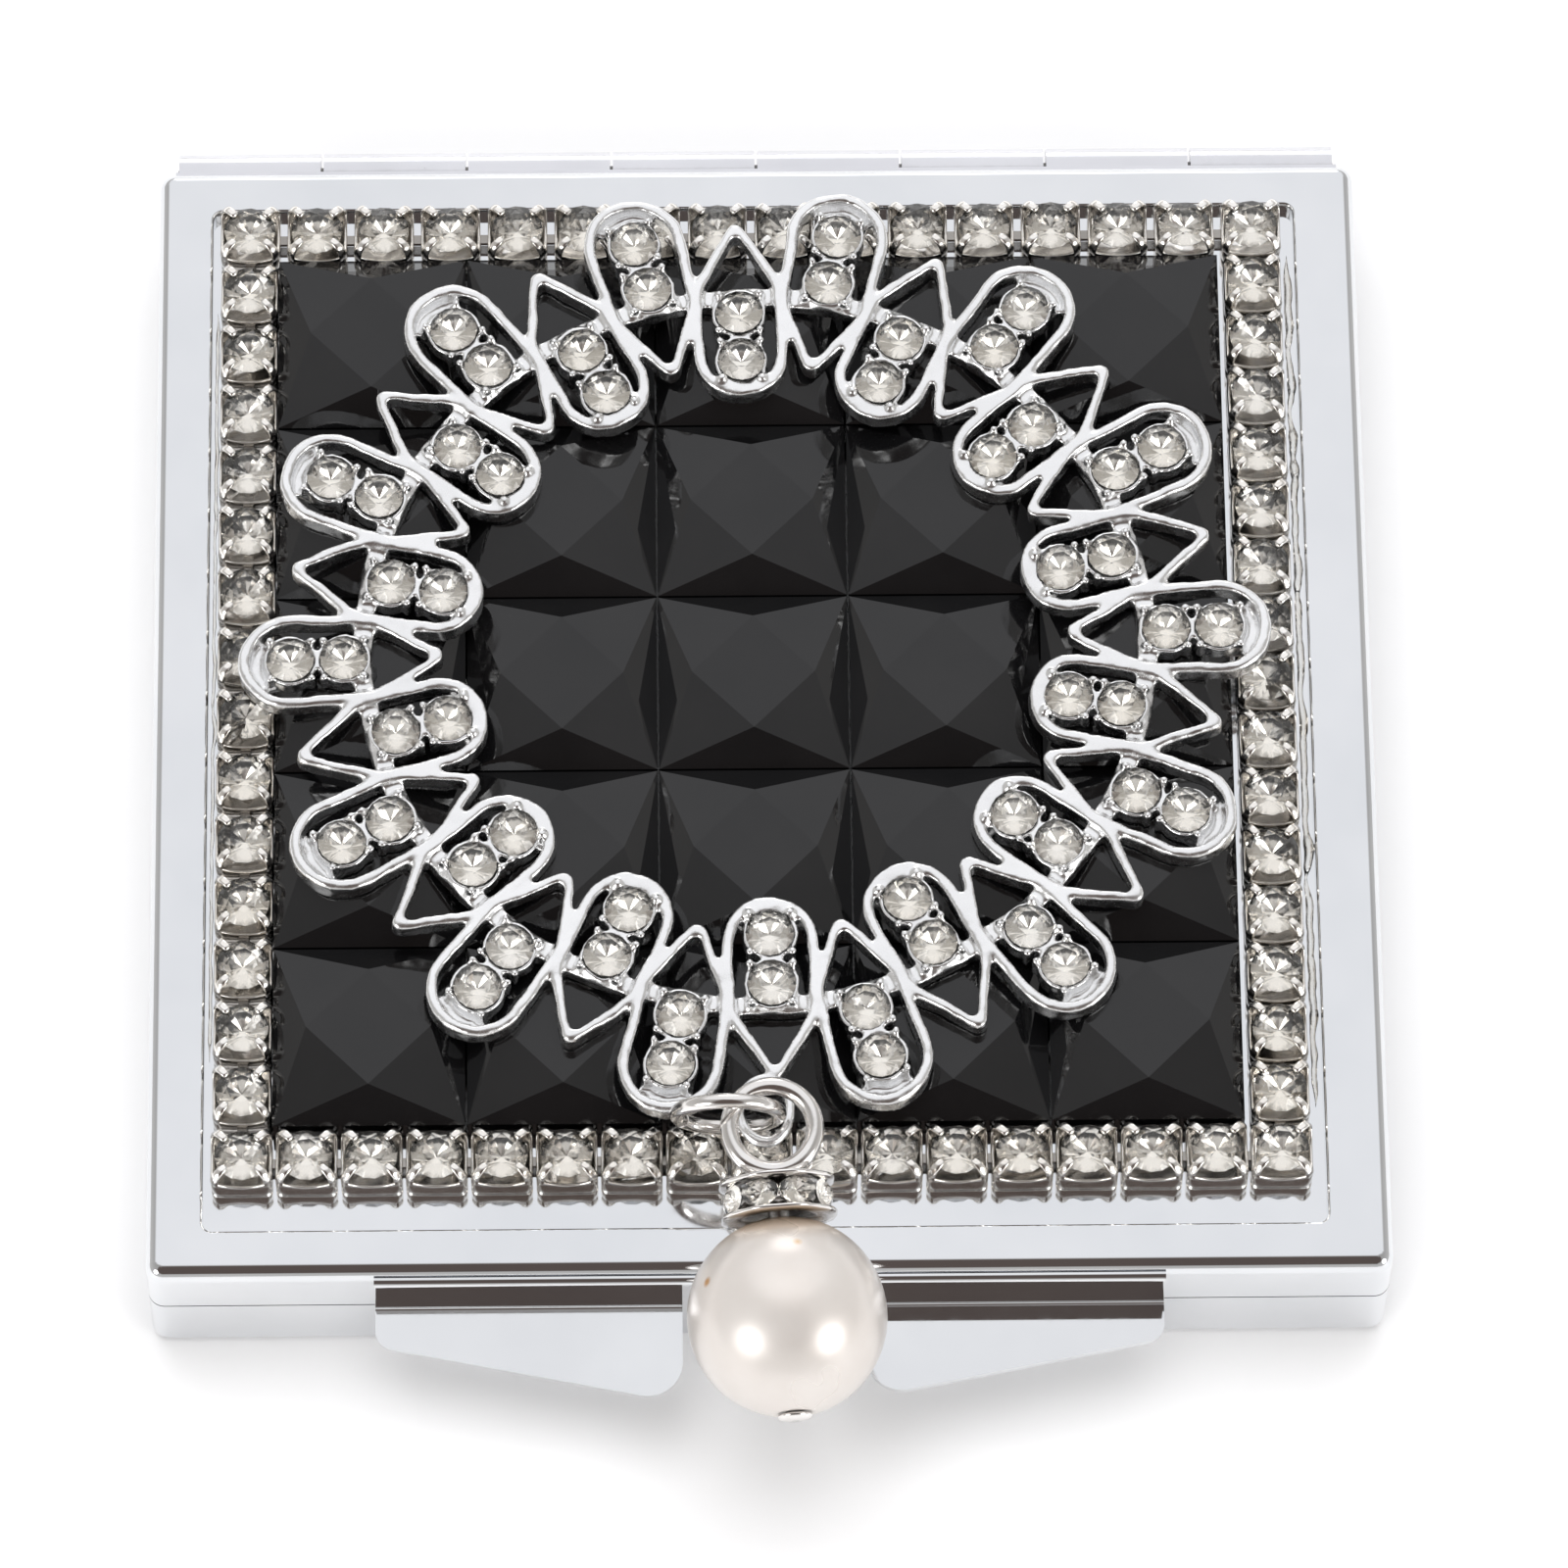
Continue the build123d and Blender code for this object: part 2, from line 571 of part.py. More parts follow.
def crystal(girdle_r):
    """One round-cut stone with its girdle in the XY plane."""
    flat_r = girdle_r * math.cos(math.pi / CRYSTAL_SIDES)
    crown_taper = math.degrees(math.atan(flat_r * (1 - CRYSTAL_TABLE) / CRYSTAL_CROWN))
    pavilion_taper = math.degrees(math.atan(flat_r * (1 - CRYSTAL_CULET) / CRYSTAL_PAVILION))
    with BuildPart() as cut:
        with BuildSketch():
            RegularPolygon(girdle_r, CRYSTAL_SIDES)
        extrude(amount=CRYSTAL_CROWN, taper=crown_taper)
        with BuildSketch(Plane(origin=(0, 0, 0), x_dir=(1, 0, 0), z_dir=(0, 0, -1))):
            RegularPolygon(girdle_r, CRYSTAL_SIDES)
        extrude(amount=CRYSTAL_PAVILION, taper=pavilion_taper)
    return cut.part


chain_crystal = crystal(CHAIN_GIRDLE_R)
for side_name, spots in CHAIN_SIDES.items():
    with BuildPart() as chain_cups:
        with Locations([(x, y, FLOOR_Z) for x, y in spots]):
            add(cup.part)
    save(chain_cups.part, f"chain_cups_{side_name}")
    with BuildPart() as chain_crystals:
        with Locations([(x, y, CHAIN_GIRDLE_Z) for x, y in spots]):
            add(chain_crystal)
    save(chain_crystals.part, f"chain_crystals_{side_name}")


def between(values):
    """Middles of the gaps in a row of values."""
    return [(a + b) / 2 for a, b in zip(values, values[1:])]


with BuildPart() as chain_links:
    with BuildSketch(Plane.XY.offset(FLOOR_Z + LINK_Z)):
        with Locations([(x, FRONT_Y) for x in between(front_xs)]):
            Rectangle(front_xs[1] - front_xs[0] - CUP, LINK_W)
        with Locations([(x, BACK_Y) for x in between(back_xs)]):
            Rectangle(back_xs[1] - back_xs[0] - CUP, LINK_W)
        with Locations([(LEFT_X, y) for y in between(left_ys)]):
            Rectangle(LINK_W, left_ys[1] - left_ys[0] - CUP)
        with Locations([(RIGHT_X, y) for y in between(right_ys)]):
            Rectangle(LINK_W, right_ys[1] - right_ys[0] - CUP)
    extrude(amount=LINK_T)
save(chain_links.part, "chain_links")


# ---- Wreath: openwork drops that point inwards and outwards by turns, each with two set stones ---
def drop(round_at, round_r, tip_at, tip_r, inset):
    """Plan of one drop along +X from the wreath's middle, drawn smaller all round by the inset."""
    with BuildSketch() as plan:
        with Locations((round_at, 0)):
            Circle(round_r - inset)
        with Locations((SHOULDER_AT, SHOULDER_HALF - SHOULDER_R), (SHOULDER_AT, SHOULDER_R - SHOULDER_HALF)):
            Circle(SHOULDER_R - inset)
        with Locations((tip_at, 0)):
            Circle(tip_r)
        make_hull(plan.edges())
    return plan.sketch


inner_outline = drop(INNER_ROUND_AT, INNER_ROUND_R, INNER_TIP_AT - TIP_R, TIP_R, 0)
inner_hole = drop(INNER_ROUND_AT, INNER_ROUND_R, INNER_TIP_AT - HOLE_TIP_AT, HOLE_TIP_R, WIRE_W)
outer_outline = drop(OUTER_ROUND_AT, OUTER_ROUND_R, OUTER_TIP_AT + TIP_R, TIP_R, 0)
outer_hole = drop(OUTER_ROUND_AT, OUTER_ROUND_R, OUTER_TIP_AT + HOLE_TIP_AT, HOLE_TIP_R, WIRE_W)
STEP = 360 / DROPS
inner_turns = [WREATH_TURN + 90 + i * STEP for i in range(DROPS)]
outer_turns = [turn + STEP / 2 for turn in inner_turns]


def on_wreath(radius, turn):
    """Point of the wreath's plan at a radius and an angle in degrees."""
    a = math.radians(turn)
    return (WREATH_X + radius * math.cos(a), WREATH_Y + radius * math.sin(a))


plates = [(on_wreath(INNER_PLATE_AT, turn), INNER_PLATE_R) for turn in inner_turns]
plates += [(on_wreath(OUTER_PLATE_AT, turn), OUTER_PLATE_R) for turn in outer_turns]
set_at = [(radius, turn) for turn in inner_turns for radius in INNER_STONES_AT]
set_at += [(radius, turn) for turn in outer_turns for radius in OUTER_STONES_AT]
set_spots = [on_wreath(radius, turn) for radius, turn in set_at]

with BuildPart() as wreath_casting:
    with BuildSketch(Plane.XY.offset(WREATH_Z)):
        with Locations([Location((WREATH_X, WREATH_Y), turn) for turn in inner_turns]):
            add(inner_outline)
        with Locations([Location((WREATH_X, WREATH_Y), turn) for turn in outer_turns]):
            add(outer_outline)
        with Locations([Location((WREATH_X, WREATH_Y), turn) for turn in inner_turns]):
            add(inner_hole, mode=Mode.SUBTRACT)
        with Locations([Location((WREATH_X, WREATH_Y), turn) for turn in outer_turns]):
            add(outer_hole, mode=Mode.SUBTRACT)
    extrude(amount=WREATH_H)
    fillet(wreath_casting.faces().sort_by(Axis.Z)[-1].outer_wire().edges(), WIRE_EDGE_R)
    with BuildSketch(Plane.XY.offset(WREATH_Z)):
        with Locations(set_spots):
            Circle(SET_CUP_R)
    extrude(amount=SET_CUP_H)
    with BuildSketch(Plane.XY.offset(WREATH_Z)):
        with Locations((WREATH_X, WREATH_Y)):
            Circle(SHOULDER_AT + WEB_W / 2)
            Circle(SHOULDER_AT - WEB_W / 2, mode=Mode.SUBTRACT)
    extrude(amount=WEB_H)
    with BuildSketch(Plane.XY.offset(WREATH_Z)):
        for spot, plate_r in plates:
            with Locations(spot):
                Circle(plate_r)
    extrude(amount=PLATE_H)
    with BuildSketch(Plane.XY.offset(WREATH_Z + SET_FLOOR)):
        with Locations(set_spots):
            Circle(SET_BORE_R)
    extrude(amount=WREATH_H - SET_FLOOR, mode=Mode.SUBTRACT)
    with BuildSketch(Plane.XY.offset(WREATH_Z)):
        with Locations([Location(on_wreath(radius, turn), turn) for radius, turn in set_at]):
            with PolarLocations(BEAD_AT, 4, start_angle=45):
                Circle(BEAD_R)
    extrude(amount=BEAD_H)
    for start in (0, 180):
        with BuildLine(Plane((BAIL_X, BAIL_Y, BAIL_Z))) as bail_path:
            EllipticalCenterArc((0, 0), BAIL_HALF_X, BAIL_HALF_Y, start_angle=start, arc_size=180)
        with BuildSketch(Plane(origin=bail_path.line @ 0, z_dir=bail_path.line % 0)):
            Circle(BAIL_WIRE_R)
        sweep(path=bail_path.line)
save(wreath_casting.part, "wreath_casting")

with BuildPart() as wreath_crystals:
    with Locations([(x, y, WREATH_GIRDLE_Z) for x, y in set_spots]):
        add(crystal(WREATH_GIRDLE_R))
save(wreath_crystals.part, "wreath_crystals")

# A glue dot goes between the wreath and each of the twelve stones that lie under its middle ring.
grid = range(-(STONE_GRID // 2), STONE_GRID // 2 + 1)
glued = [(i, j) for i in grid for j in grid if 4 <= i * i + j * j <= 5]
dot_spots = []
for i, j in glued:
    dx = STONES_X + i * STONE_PITCH - WREATH_X
    dy = STONES_Y + j * STONE_PITCH - WREATH_Y
    dot_spots.append(on_wreath(SHOULDER_AT, math.degrees(math.atan2(dy, dx))))
with BuildPart() as wreath_adhesive:
    with BuildSketch(Plane.XY.offset(TABLE_Z)):
        with Locations(dot_spots):
            Circle(DOT_R)
    extrude(amount=DOT_T)
save(wreath_adhesive.part, "wreath_adhesive")

# ---- Jump ring: it stands upright through the bail, with its top leaning to the front -----------
lean = math.radians(RING_LEAN)
RING = Plane(
    origin=(RING_X, RING_Y, RING_Z),
    x_dir=(1, 0, 0),
    z_dir=(0, -math.cos(lean), -math.sin(lean)),
)
with BuildPart() as jump_ring:
    with BuildLine(RING) as ring_path:
        CenterArc((0, 0), RING_R, RING_SLIT_AT, 360 - RING_SLIT)
    with BuildSketch(Plane(origin=ring_path.line @ 0, z_dir=ring_path.line % 0)):
        Circle(RING_WIRE_R)
    sweep(path=ring_path.line)
save(jump_ring.part, "jump_ring")

# ---- Charm: its own frame has the pearl's centre at zero and Z along the pin to the eye ----------
slope = math.radians(CHARM_SLOPE)
sideways = math.radians(CHARM_TURN)
CHARM = Plane(
    origin=(PEARL_X, PEARL_Y, PEARL_Z),
    x_dir=(math.cos(sideways), math.sin(sideways), 0),
    z_dir=(-math.sin(sideways) * math.cos(slope), math.cos(sideways) * math.cos(slope), math.sin(slope)),
)
EYE = Plane(origin=CHARM.offset(EYE_AT).origin, x_dir=CHARM.x_dir, z_dir=CHARM.y_dir)
HEAD_TOP = -PEARL_FLAT - END_PLAY

with BuildPart() as head_pin:
    with BuildSketch(CHARM.offset(HEAD_TOP - HEAD_T)):
        Circle(HEAD_R)
    extrude(amount=HEAD_T)
    fillet(head_pin.edges().group_by(SortBy.LENGTH)[-1].sort_by(Axis.Y)[0], HEAD_T / 2)
    with BuildSketch(CHARM.offset(HEAD_TOP - HEAD_T / 2)):
        Circle(PIN_WIRE_R)
    extrude(amount=EYE_AT - EYE_R - HEAD_TOP + HEAD_T / 2)
    with BuildSketch(Plane(origin=EYE.origin, x_dir=EYE.x_dir, z_dir=EYE.y_dir)):
        with Locations((EYE_R, 0)):
            Circle(PIN_WIRE_R)
    revolve(axis=Axis(EYE.origin, EYE.z_dir))
save(head_pin.part, "head_pin")

with BuildPart() as pearl:
    with Locations(CHARM):
        Sphere(PEARL_R)
    split(bisect_by=CHARM.offset(PEARL_FLAT), keep=Keep.BOTTOM)
    split(bisect_by=CHARM.offset(-PEARL_FLAT), keep=Keep.TOP)
    with BuildSketch(CHARM.offset(-PEARL_R)):
        Circle(CHARM_BORE_R)
    extrude(amount=2 * PEARL_R, mode=Mode.SUBTRACT)
save(pearl.part, "pearl")

with BuildPart() as rondelle_frame:
    for start in (LOWER_FLANGE, UPPER_FLANGE):
        with BuildSketch(CHARM.offset(start)):
            Circle(FLANGE_R)
            with PolarLocations(LOBE_AT, LOBES, start_angle=LOBE_TURN):
                Circle(LOBE_R)
        extrude(amount=FLANGE_T)
    with BuildSketch(CHARM.offset(LOWER_FLANGE)):
        Circle(HUB_R)
    extrude(amount=UPPER_FLANGE + FLANGE_T - LOWER_FLANGE)
    with BuildSketch(CHARM.offset(LOWER_FLANGE)):
        Circle(CHARM_BORE_R)
    extrude(amount=UPPER_FLANGE + FLANGE_T - LOWER_FLANGE, mode=Mode.SUBTRACT)
save(rondelle_frame.part, "rondelle_frame")

with BuildPart() as rondelle_crystals:
    with BuildSketch(CHARM.offset(LOWER_FLANGE + FLANGE_T)):
        with PolarLocations(RONDELLE_CRYSTAL_AT, LOBES, start_angle=LOBE_TURN):
            RegularPolygon(RONDELLE_CRYSTAL_R, LOBES)
    extrude(amount=UPPER_FLANGE - LOWER_FLANGE - FLANGE_T)
save(rondelle_crystals.part, "rondelle_crystals")
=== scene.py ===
import math
import random

import bmesh
import bpy
import numpy as np
from mathutils import Matrix, Vector, noise


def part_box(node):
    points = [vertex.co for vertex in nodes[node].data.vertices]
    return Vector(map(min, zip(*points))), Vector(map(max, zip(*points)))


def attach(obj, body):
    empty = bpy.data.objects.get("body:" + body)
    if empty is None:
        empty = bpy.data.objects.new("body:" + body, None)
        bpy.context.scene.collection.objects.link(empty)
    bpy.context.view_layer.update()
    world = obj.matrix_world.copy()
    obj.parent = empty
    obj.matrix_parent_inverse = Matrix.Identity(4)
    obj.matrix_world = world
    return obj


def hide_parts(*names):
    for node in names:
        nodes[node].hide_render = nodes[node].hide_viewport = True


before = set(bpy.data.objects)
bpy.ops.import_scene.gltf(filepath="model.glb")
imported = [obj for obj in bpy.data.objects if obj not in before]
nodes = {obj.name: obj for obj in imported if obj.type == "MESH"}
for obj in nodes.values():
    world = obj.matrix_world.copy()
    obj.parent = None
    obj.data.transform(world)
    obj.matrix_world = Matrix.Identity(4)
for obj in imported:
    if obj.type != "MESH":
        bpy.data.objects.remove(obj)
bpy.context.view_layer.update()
MM = 0.001

# ------------------------------------------------------------------------------------------------
# Sizes shared with the CAD model, in millimetres
# ------------------------------------------------------------------------------------------------
RIM_Z = 9.0
FLOOR_Z = 8.2
CHAIN_GIRDLE_Z = 10.05
CHAIN_GIRDLE_R = 1.38
WREATH = Vector((-0.4, 2.05, 11.25))
WREATH_TURN = 1.9
WREATH_GIRDLE_Z = 12.5
WREATH_GIRDLE_R = 1.28
CHAIN_MID = (-0.35, 1.0)
CHAIN_HALF = 26.75
CHAIN_CROWN = 0.46
CHAIN_PAVILION = 0.98
FRONT_CUPS = 17
BACK_CUPS = 16
LEFT_CUPS = 16                # with the corner cups
RIGHT_CUPS = 17
WREATH_CROWN = 0.44
WREATH_PAVILION = 0.92
DROPS = 14                    # in the inner ring, and as many in the outer one
INNER_STONES = (16.6, 19.4)   # radii of the stones' middles
OUTER_STONES = (24.3, 21.5)
PEARL = Vector((0.81, -35.94, 12.6))
PEARL_R = 5.12
PEARL_FLAT = 5.0
BORE_R = 0.52
SLOPE = math.radians(10.0)
TURN = math.radians(4.0)
PIN_AXIS = Vector((
    -math.sin(TURN) * math.cos(SLOPE), math.cos(TURN) * math.cos(SLOPE), math.sin(SLOPE),
))
SIDE_AXIS = Vector((math.cos(TURN), math.sin(TURN), 0.0))
UP_AXIS = PIN_AXIS.cross(SIDE_AXIS)
EYE_AT = 9.85
EYE_R = 2.2
PIN_R = 0.47
RING = Vector((-2.1, -25.2, 13.7))
RING_R = 2.6
RING_WIRE_R = 0.4
LEAN = math.radians(8.0)
FLANGE_R = 3.02
FLANGE_BORE_R = 0.53
HUB_R = 1.2
LOWER_FLANGE = (5.05, 5.35)
UPPER_FLANGE = (6.80, 7.1)
LOBES = 8                     # waves of the flanges' rims, and stones between them
LOBE_DEPTH = 0.06
GEMS_AT = (2.52, 6.075)       # distance from the pin and height along it
GEM_WIDEN = 1.42              # the rondelle's stones are wider than they are high


# ------------------------------------------------------------------------------------------------
# Materials
# ------------------------------------------------------------------------------------------------
class Shader:
    """A small builder around one node-based material."""

    def __init__(self, name):
        self.mat = bpy.data.materials.new(name)
        self.mat.use_nodes = True
        self.tree = self.mat.node_tree
        self.bsdf = self.tree.nodes["Principled BSDF"]
        self.coord = self.tree.nodes.new("ShaderNodeTexCoord")

    def set(self, **values):
        names = {
            "color": "Base Color", "metallic": "Metallic", "ior": "IOR",
            "transmission": "Transmission Weight", "specular": "Specular IOR Level",
            "coat": "Coat Weight", "coat_roughness": "Coat Roughness",
            "sheen": "Sheen Weight", "sheen_roughness": "Sheen Roughness",
        }
        for key, value in values.items():
            socket = self.bsdf.inputs[names[key]]
            socket.default_value = (*value, 1.0) if key == "color" else value
        return self

    def node(self, kind):
        return self.tree.nodes.new(kind)

    def link(self, a, b):
        self.tree.links.new(a, b)

    def noise(self, per_mm, detail=4.0, rough=0.55, stretch=(1, 1, 1)):
        """Cloudy noise with so many features to the millimetre."""
        mapping = self.node("ShaderNodeMapping")
        mapping.inputs["Scale"].default_value = [s * per_mm / MM for s in stretch]
        self.link(self.coord.outputs["Object"], mapping.inputs["Vector"])
        n = self.node("ShaderNodeTexNoise")
        n.inputs["Scale"].default_value = 1.0
        n.inputs["Detail"].default_value = detail
        n.inputs["Roughness"].default_value = rough
        self.link(mapping.outputs[0], n.inputs["Vector"])
        return n.outputs["Fac"]

    def near(self, spot, inner, outer):
        """One close to a spot, in millimetres, fading to nothing further off."""
        d = self.node("ShaderNodeVectorMath")
        d.operation = "DISTANCE"
        d.inputs[1].default_value = Vector(spot) * MM
        self.link(self.coord.outputs["Object"], d.inputs[0])
        return self.spread(d.outputs["Value"], 1.0, 0.0, inner * MM, outer * MM)

    def spread(self, factor, low, high, start=0.3, end=0.7):
        """Maps the middle of a factor's range onto low to high."""
        n = self.node("ShaderNodeMapRange")
        n.inputs["From Min"].default_value = start
        n.inputs["From Max"].default_value = end
        n.inputs["To Min"].default_value = low
        n.inputs["To Max"].default_value = high
        self.link(factor, n.inputs["Value"])
        return n.outputs["Result"]

    def blend(self, factor, a, b):
        n = self.node("ShaderNodeMix")
        n.data_type = "RGBA"
        n.inputs[6].default_value = (*a, 1.0)
        n.inputs[7].default_value = (*b, 1.0)
        self.link(factor, n.inputs[0])
        return n.outputs[2]

    def cloudy(self, per_mm, detail, a, b):
        """A slow change between two colours."""
        return self.blend(self.spread(self.noise(per_mm, detail), 0, 1), a, b)

    def tint(self, below, factor, colour):
        mix = self.node("ShaderNodeMix")
        mix.data_type = "RGBA"
        mix.inputs[7].default_value = (*colour, 1.0)
        self.link(factor, mix.inputs[0])
        self.link(below, mix.inputs[6])
        return mix.outputs[2]

    def colour(self, socket):
        self.link(socket, self.bsdf.inputs["Base Color"])
        return self

    def rough(self, socket):
        self.link(socket, self.bsdf.inputs["Roughness"])
        return self

    def bump(self, socket, depth_mm):
        n = self.node("ShaderNodeBump")
        n.inputs["Strength"].default_value = 1.0
        n.inputs["Distance"].default_value = depth_mm * MM
        self.link(socket, n.inputs["Height"])
        previous = self.bsdf.inputs["Normal"].links
        if previous:
            self.link(previous[0].from_socket, n.inputs["Normal"])
        self.link(n.outputs["Normal"], self.bsdf.inputs["Normal"])
        return self


def metal(name, dark, light, rough_low, rough_high, ripple_mm=0.0, ripple=0.25, scratch_mm=0.0):
    """Plated metal: slow tone changes, cloudy polish, a faint ripple and fine scratches."""
    s = Shader(name).set(metallic=1.0)
    s.colour(s.cloudy(0.12, 3, dark, light))
    s.rough(s.spread(s.noise(1.3, 6, 0.65), rough_low, rough_high))
    if ripple_mm:
        s.bump(s.noise(ripple, 3), ripple_mm)
    if scratch_mm:
        s.bump(s.noise(2.2, 8, 0.7, stretch=(0.06, 1, 1)), scratch_mm)
    return s.mat


case_metal = metal(
    "case_metal", (0.74, 0.755, 0.775), (0.80, 0.81, 0.825),
    0.035, 0.10, 0.0012, 0.12, 0.00012,
)
hinge_metal = metal(
    "hinge_metal", (0.72, 0.72, 0.75), (0.80, 0.80, 0.83),
    0.16, 0.28, 0.002, 0.6, 0.0004,
)
latch_metal = metal(
    "latch_metal", (0.74, 0.75, 0.765), (0.80, 0.81, 0.82),
    0.03, 0.09, 0.002, 0.1, 0.00012,
)
cup_metal = metal(
    "cup_metal", (0.90, 0.86, 0.80), (0.97, 0.95, 0.92),
    0.12, 0.24, 0.012, 1.6,
)
# Painted shade: the chain links between the cups get a dark metal colour that stands in for the
# shade between the cups.
link_metal_painted_shade = metal(
    "link_metal_painted_shade", (0.30, 0.28, 0.26), (0.42, 0.40, 0.37),
    0.12, 0.24, 0.006, 1.2,
)
wreath_metal = metal(
    "wreath_metal", (0.86, 0.86, 0.86), (0.95, 0.95, 0.95),
    0.16, 0.34, 0.02, 1.4,
)
finding_metal = metal(
    "finding_metal", (0.78, 0.75, 0.72), (0.90, 0.88, 0.86),
    0.10, 0.20, 0.008, 1.0,
)
pin_metal = metal(
    "pin_metal", (0.10, 0.10, 0.10), (0.16, 0.155, 0.15),
    0.25, 0.40, 0.002, 0.8,
)
pan_metal = metal(
    "pan_metal", (0.62, 0.62, 0.62), (0.74, 0.74, 0.74),
    0.28, 0.42, 0.002, 0.8, 0.001,
)
foil_metal = metal(
    "foil_metal", (0.97, 0.95, 0.91), (0.99, 0.98, 0.96),
    0.09, 0.15,
)

s = Shader("clear_stone").set(color=(0.998, 0.985, 0.96), transmission=1.0, ior=1.56)
s.rough(s.spread(s.noise(2.5, 4), 0.0, 0.02))
s.bump(s.noise(1.2, 3), 0.0015)
clear_stone = s.mat

s = Shader("black_stone").set(specular=0.5, ior=1.52)
s.colour(s.cloudy(0.25, 3, (0.0042, 0.0042, 0.0046), (0.0065, 0.0062, 0.0065)))
s.rough(s.spread(s.noise(0.9, 7, 0.7), 0.02, 0.06, 0.35, 0.75))
s.bump(s.noise(0.08, 2), 0.004)
black_stone = s.mat

s = Shader("glue").set(transmission=1.0, ior=1.45)
s.colour(s.cloudy(0.5, 3, (0.99, 0.985, 0.97), (0.96, 0.94, 0.90)))
s.rough(s.spread(s.noise(1.2, 4), 0.01, 0.06))
s.bump(s.noise(1.4, 3), 0.02)
glue = s.mat

s = Shader("tray_plastic").set(specular=0.5)
s.colour(s.cloudy(0.3, 4, (0.016, 0.016, 0.017), (0.024, 0.023, 0.024)))
s.rough(s.spread(s.noise(0.7, 6), 0.16, 0.30))
s.bump(s.noise(6.0, 3), 0.002)
tray_plastic = s.mat

s = Shader("powder").set(specular=0.15)
s.colour(s.blend(s.spread(s.noise(3.0, 8, 0.7), 0, 1), (0.72, 0.47, 0.33), (0.82, 0.60, 0.46)))
s.rough(s.spread(s.noise(4.0, 5), 0.80, 0.98))
s.bump(s.noise(7.0, 8, 0.75), 0.03)
powder = s.mat

s = Shader("puff_velour").set(sheen=0.6, sheen_roughness=0.45, specular=0.1)
s.colour(s.cloudy(1.1, 6, (0.80, 0.62, 0.53), (0.90, 0.75, 0.66)))
s.rough(s.spread(s.noise(5.0, 4), 0.85, 1.0))
s.bump(s.noise(9.0, 6, 0.8), 0.08)
puff_velour = s.mat

s = Shader("ribbon").set(sheen=0.3, sheen_roughness=0.3)
wave = s.node("ShaderNodeTexWave")
wave.wave_type = "BANDS"
wave.bands_direction = "Y"
ribs = s.node("ShaderNodeMapping")
ribs.inputs["Scale"].default_value = (2.2 / MM, 2.2 / MM, 2.2 / MM)
s.link(s.coord.outputs["Object"], ribs.inputs["Vector"])
s.link(ribs.outputs[0], wave.inputs["Vector"])
s.colour(s.cloudy(1.5, 5, (0.84, 0.78, 0.70), (0.92, 0.88, 0.81)))
s.rough(s.spread(s.noise(2.5, 4), 0.30, 0.45))
s.bump(wave.outputs["Fac"], 0.02)
ribbon_cloth = s.mat

s = Shader("mirror_glass").set(metallic=1.0)
s.colour(s.cloudy(0.08, 3, (0.88, 0.90, 0.91), (0.93, 0.94, 0.95)))
s.rough(s.spread(s.noise(0.12, 6, 0.7), 0.0, 0.03, 0.5, 0.8))
mirror_glass = s.mat

# The pearl's coat: ivory lustre, a light brown painted shade round the drill hole under the
# rondelle, and two tiny stains.
s = Shader("pearl_coat").set(metallic=0.42, coat=0.25, coat_roughness=0.1, specular=0.5)
tone = s.cloudy(0.22, 4, (0.67, 0.62, 0.58), (0.73, 0.69, 0.655))

# Painted shade: light brown round the drill hole, where the rondelle sits over the pearl.
tone = s.tint(tone, s.near(PEARL + PIN_AXIS * PEARL_R, 2.4, 4.4), (0.56, 0.44, 0.33))
STAIN_LEFT = PEARL + Vector((-0.80, 0.15, 0.58)).normalized() * PEARL_R
STAIN_TOP = PEARL + Vector((0.10, 0.45, 0.89)).normalized() * PEARL_R
tone = s.tint(tone, s.near(STAIN_LEFT, 0.12, 0.34), (0.46, 0.25, 0.10))
tone = s.tint(tone, s.near(STAIN_TOP, 0.04, 0.30), (0.60, 0.44, 0.28))
s.colour(tone)
s.rough(s.spread(s.noise(0.2, 2), 0.26, 0.34))
s.bump(s.noise(0.25, 1), 0.01)
pearl_coat = s.mat

s = Shader("floor")
s.colour(s.cloudy(0.01, 3, (0.86, 0.86, 0.865), (0.875, 0.875, 0.88)))
s.rough(s.spread(s.noise(0.05, 3), 0.55, 0.65))
floor_paint = s.mat


# ------------------------------------------------------------------------------------------------
# Mesh helpers. All take millimetres.
# ------------------------------------------------------------------------------------------------
def new_piece(name, verts, faces, material, body, smooth=True, replaces=()):
    mesh = bpy.data.meshes.new(name)
    mesh.from_pydata([Vector(v) * MM for v in verts], [], faces)
    mesh.update()
    obj = bpy.data.objects.new(name, mesh)
    bpy.context.scene.collection.objects.link(obj)
    for m in material if isinstance(material, (list, tuple)) else [material]:
        mesh.materials.append(m)
    for p in mesh.polygons:
        p.use_smooth = smooth
    if body:
        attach(obj, body)
        if replaces:
            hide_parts(*replaces)
    return obj


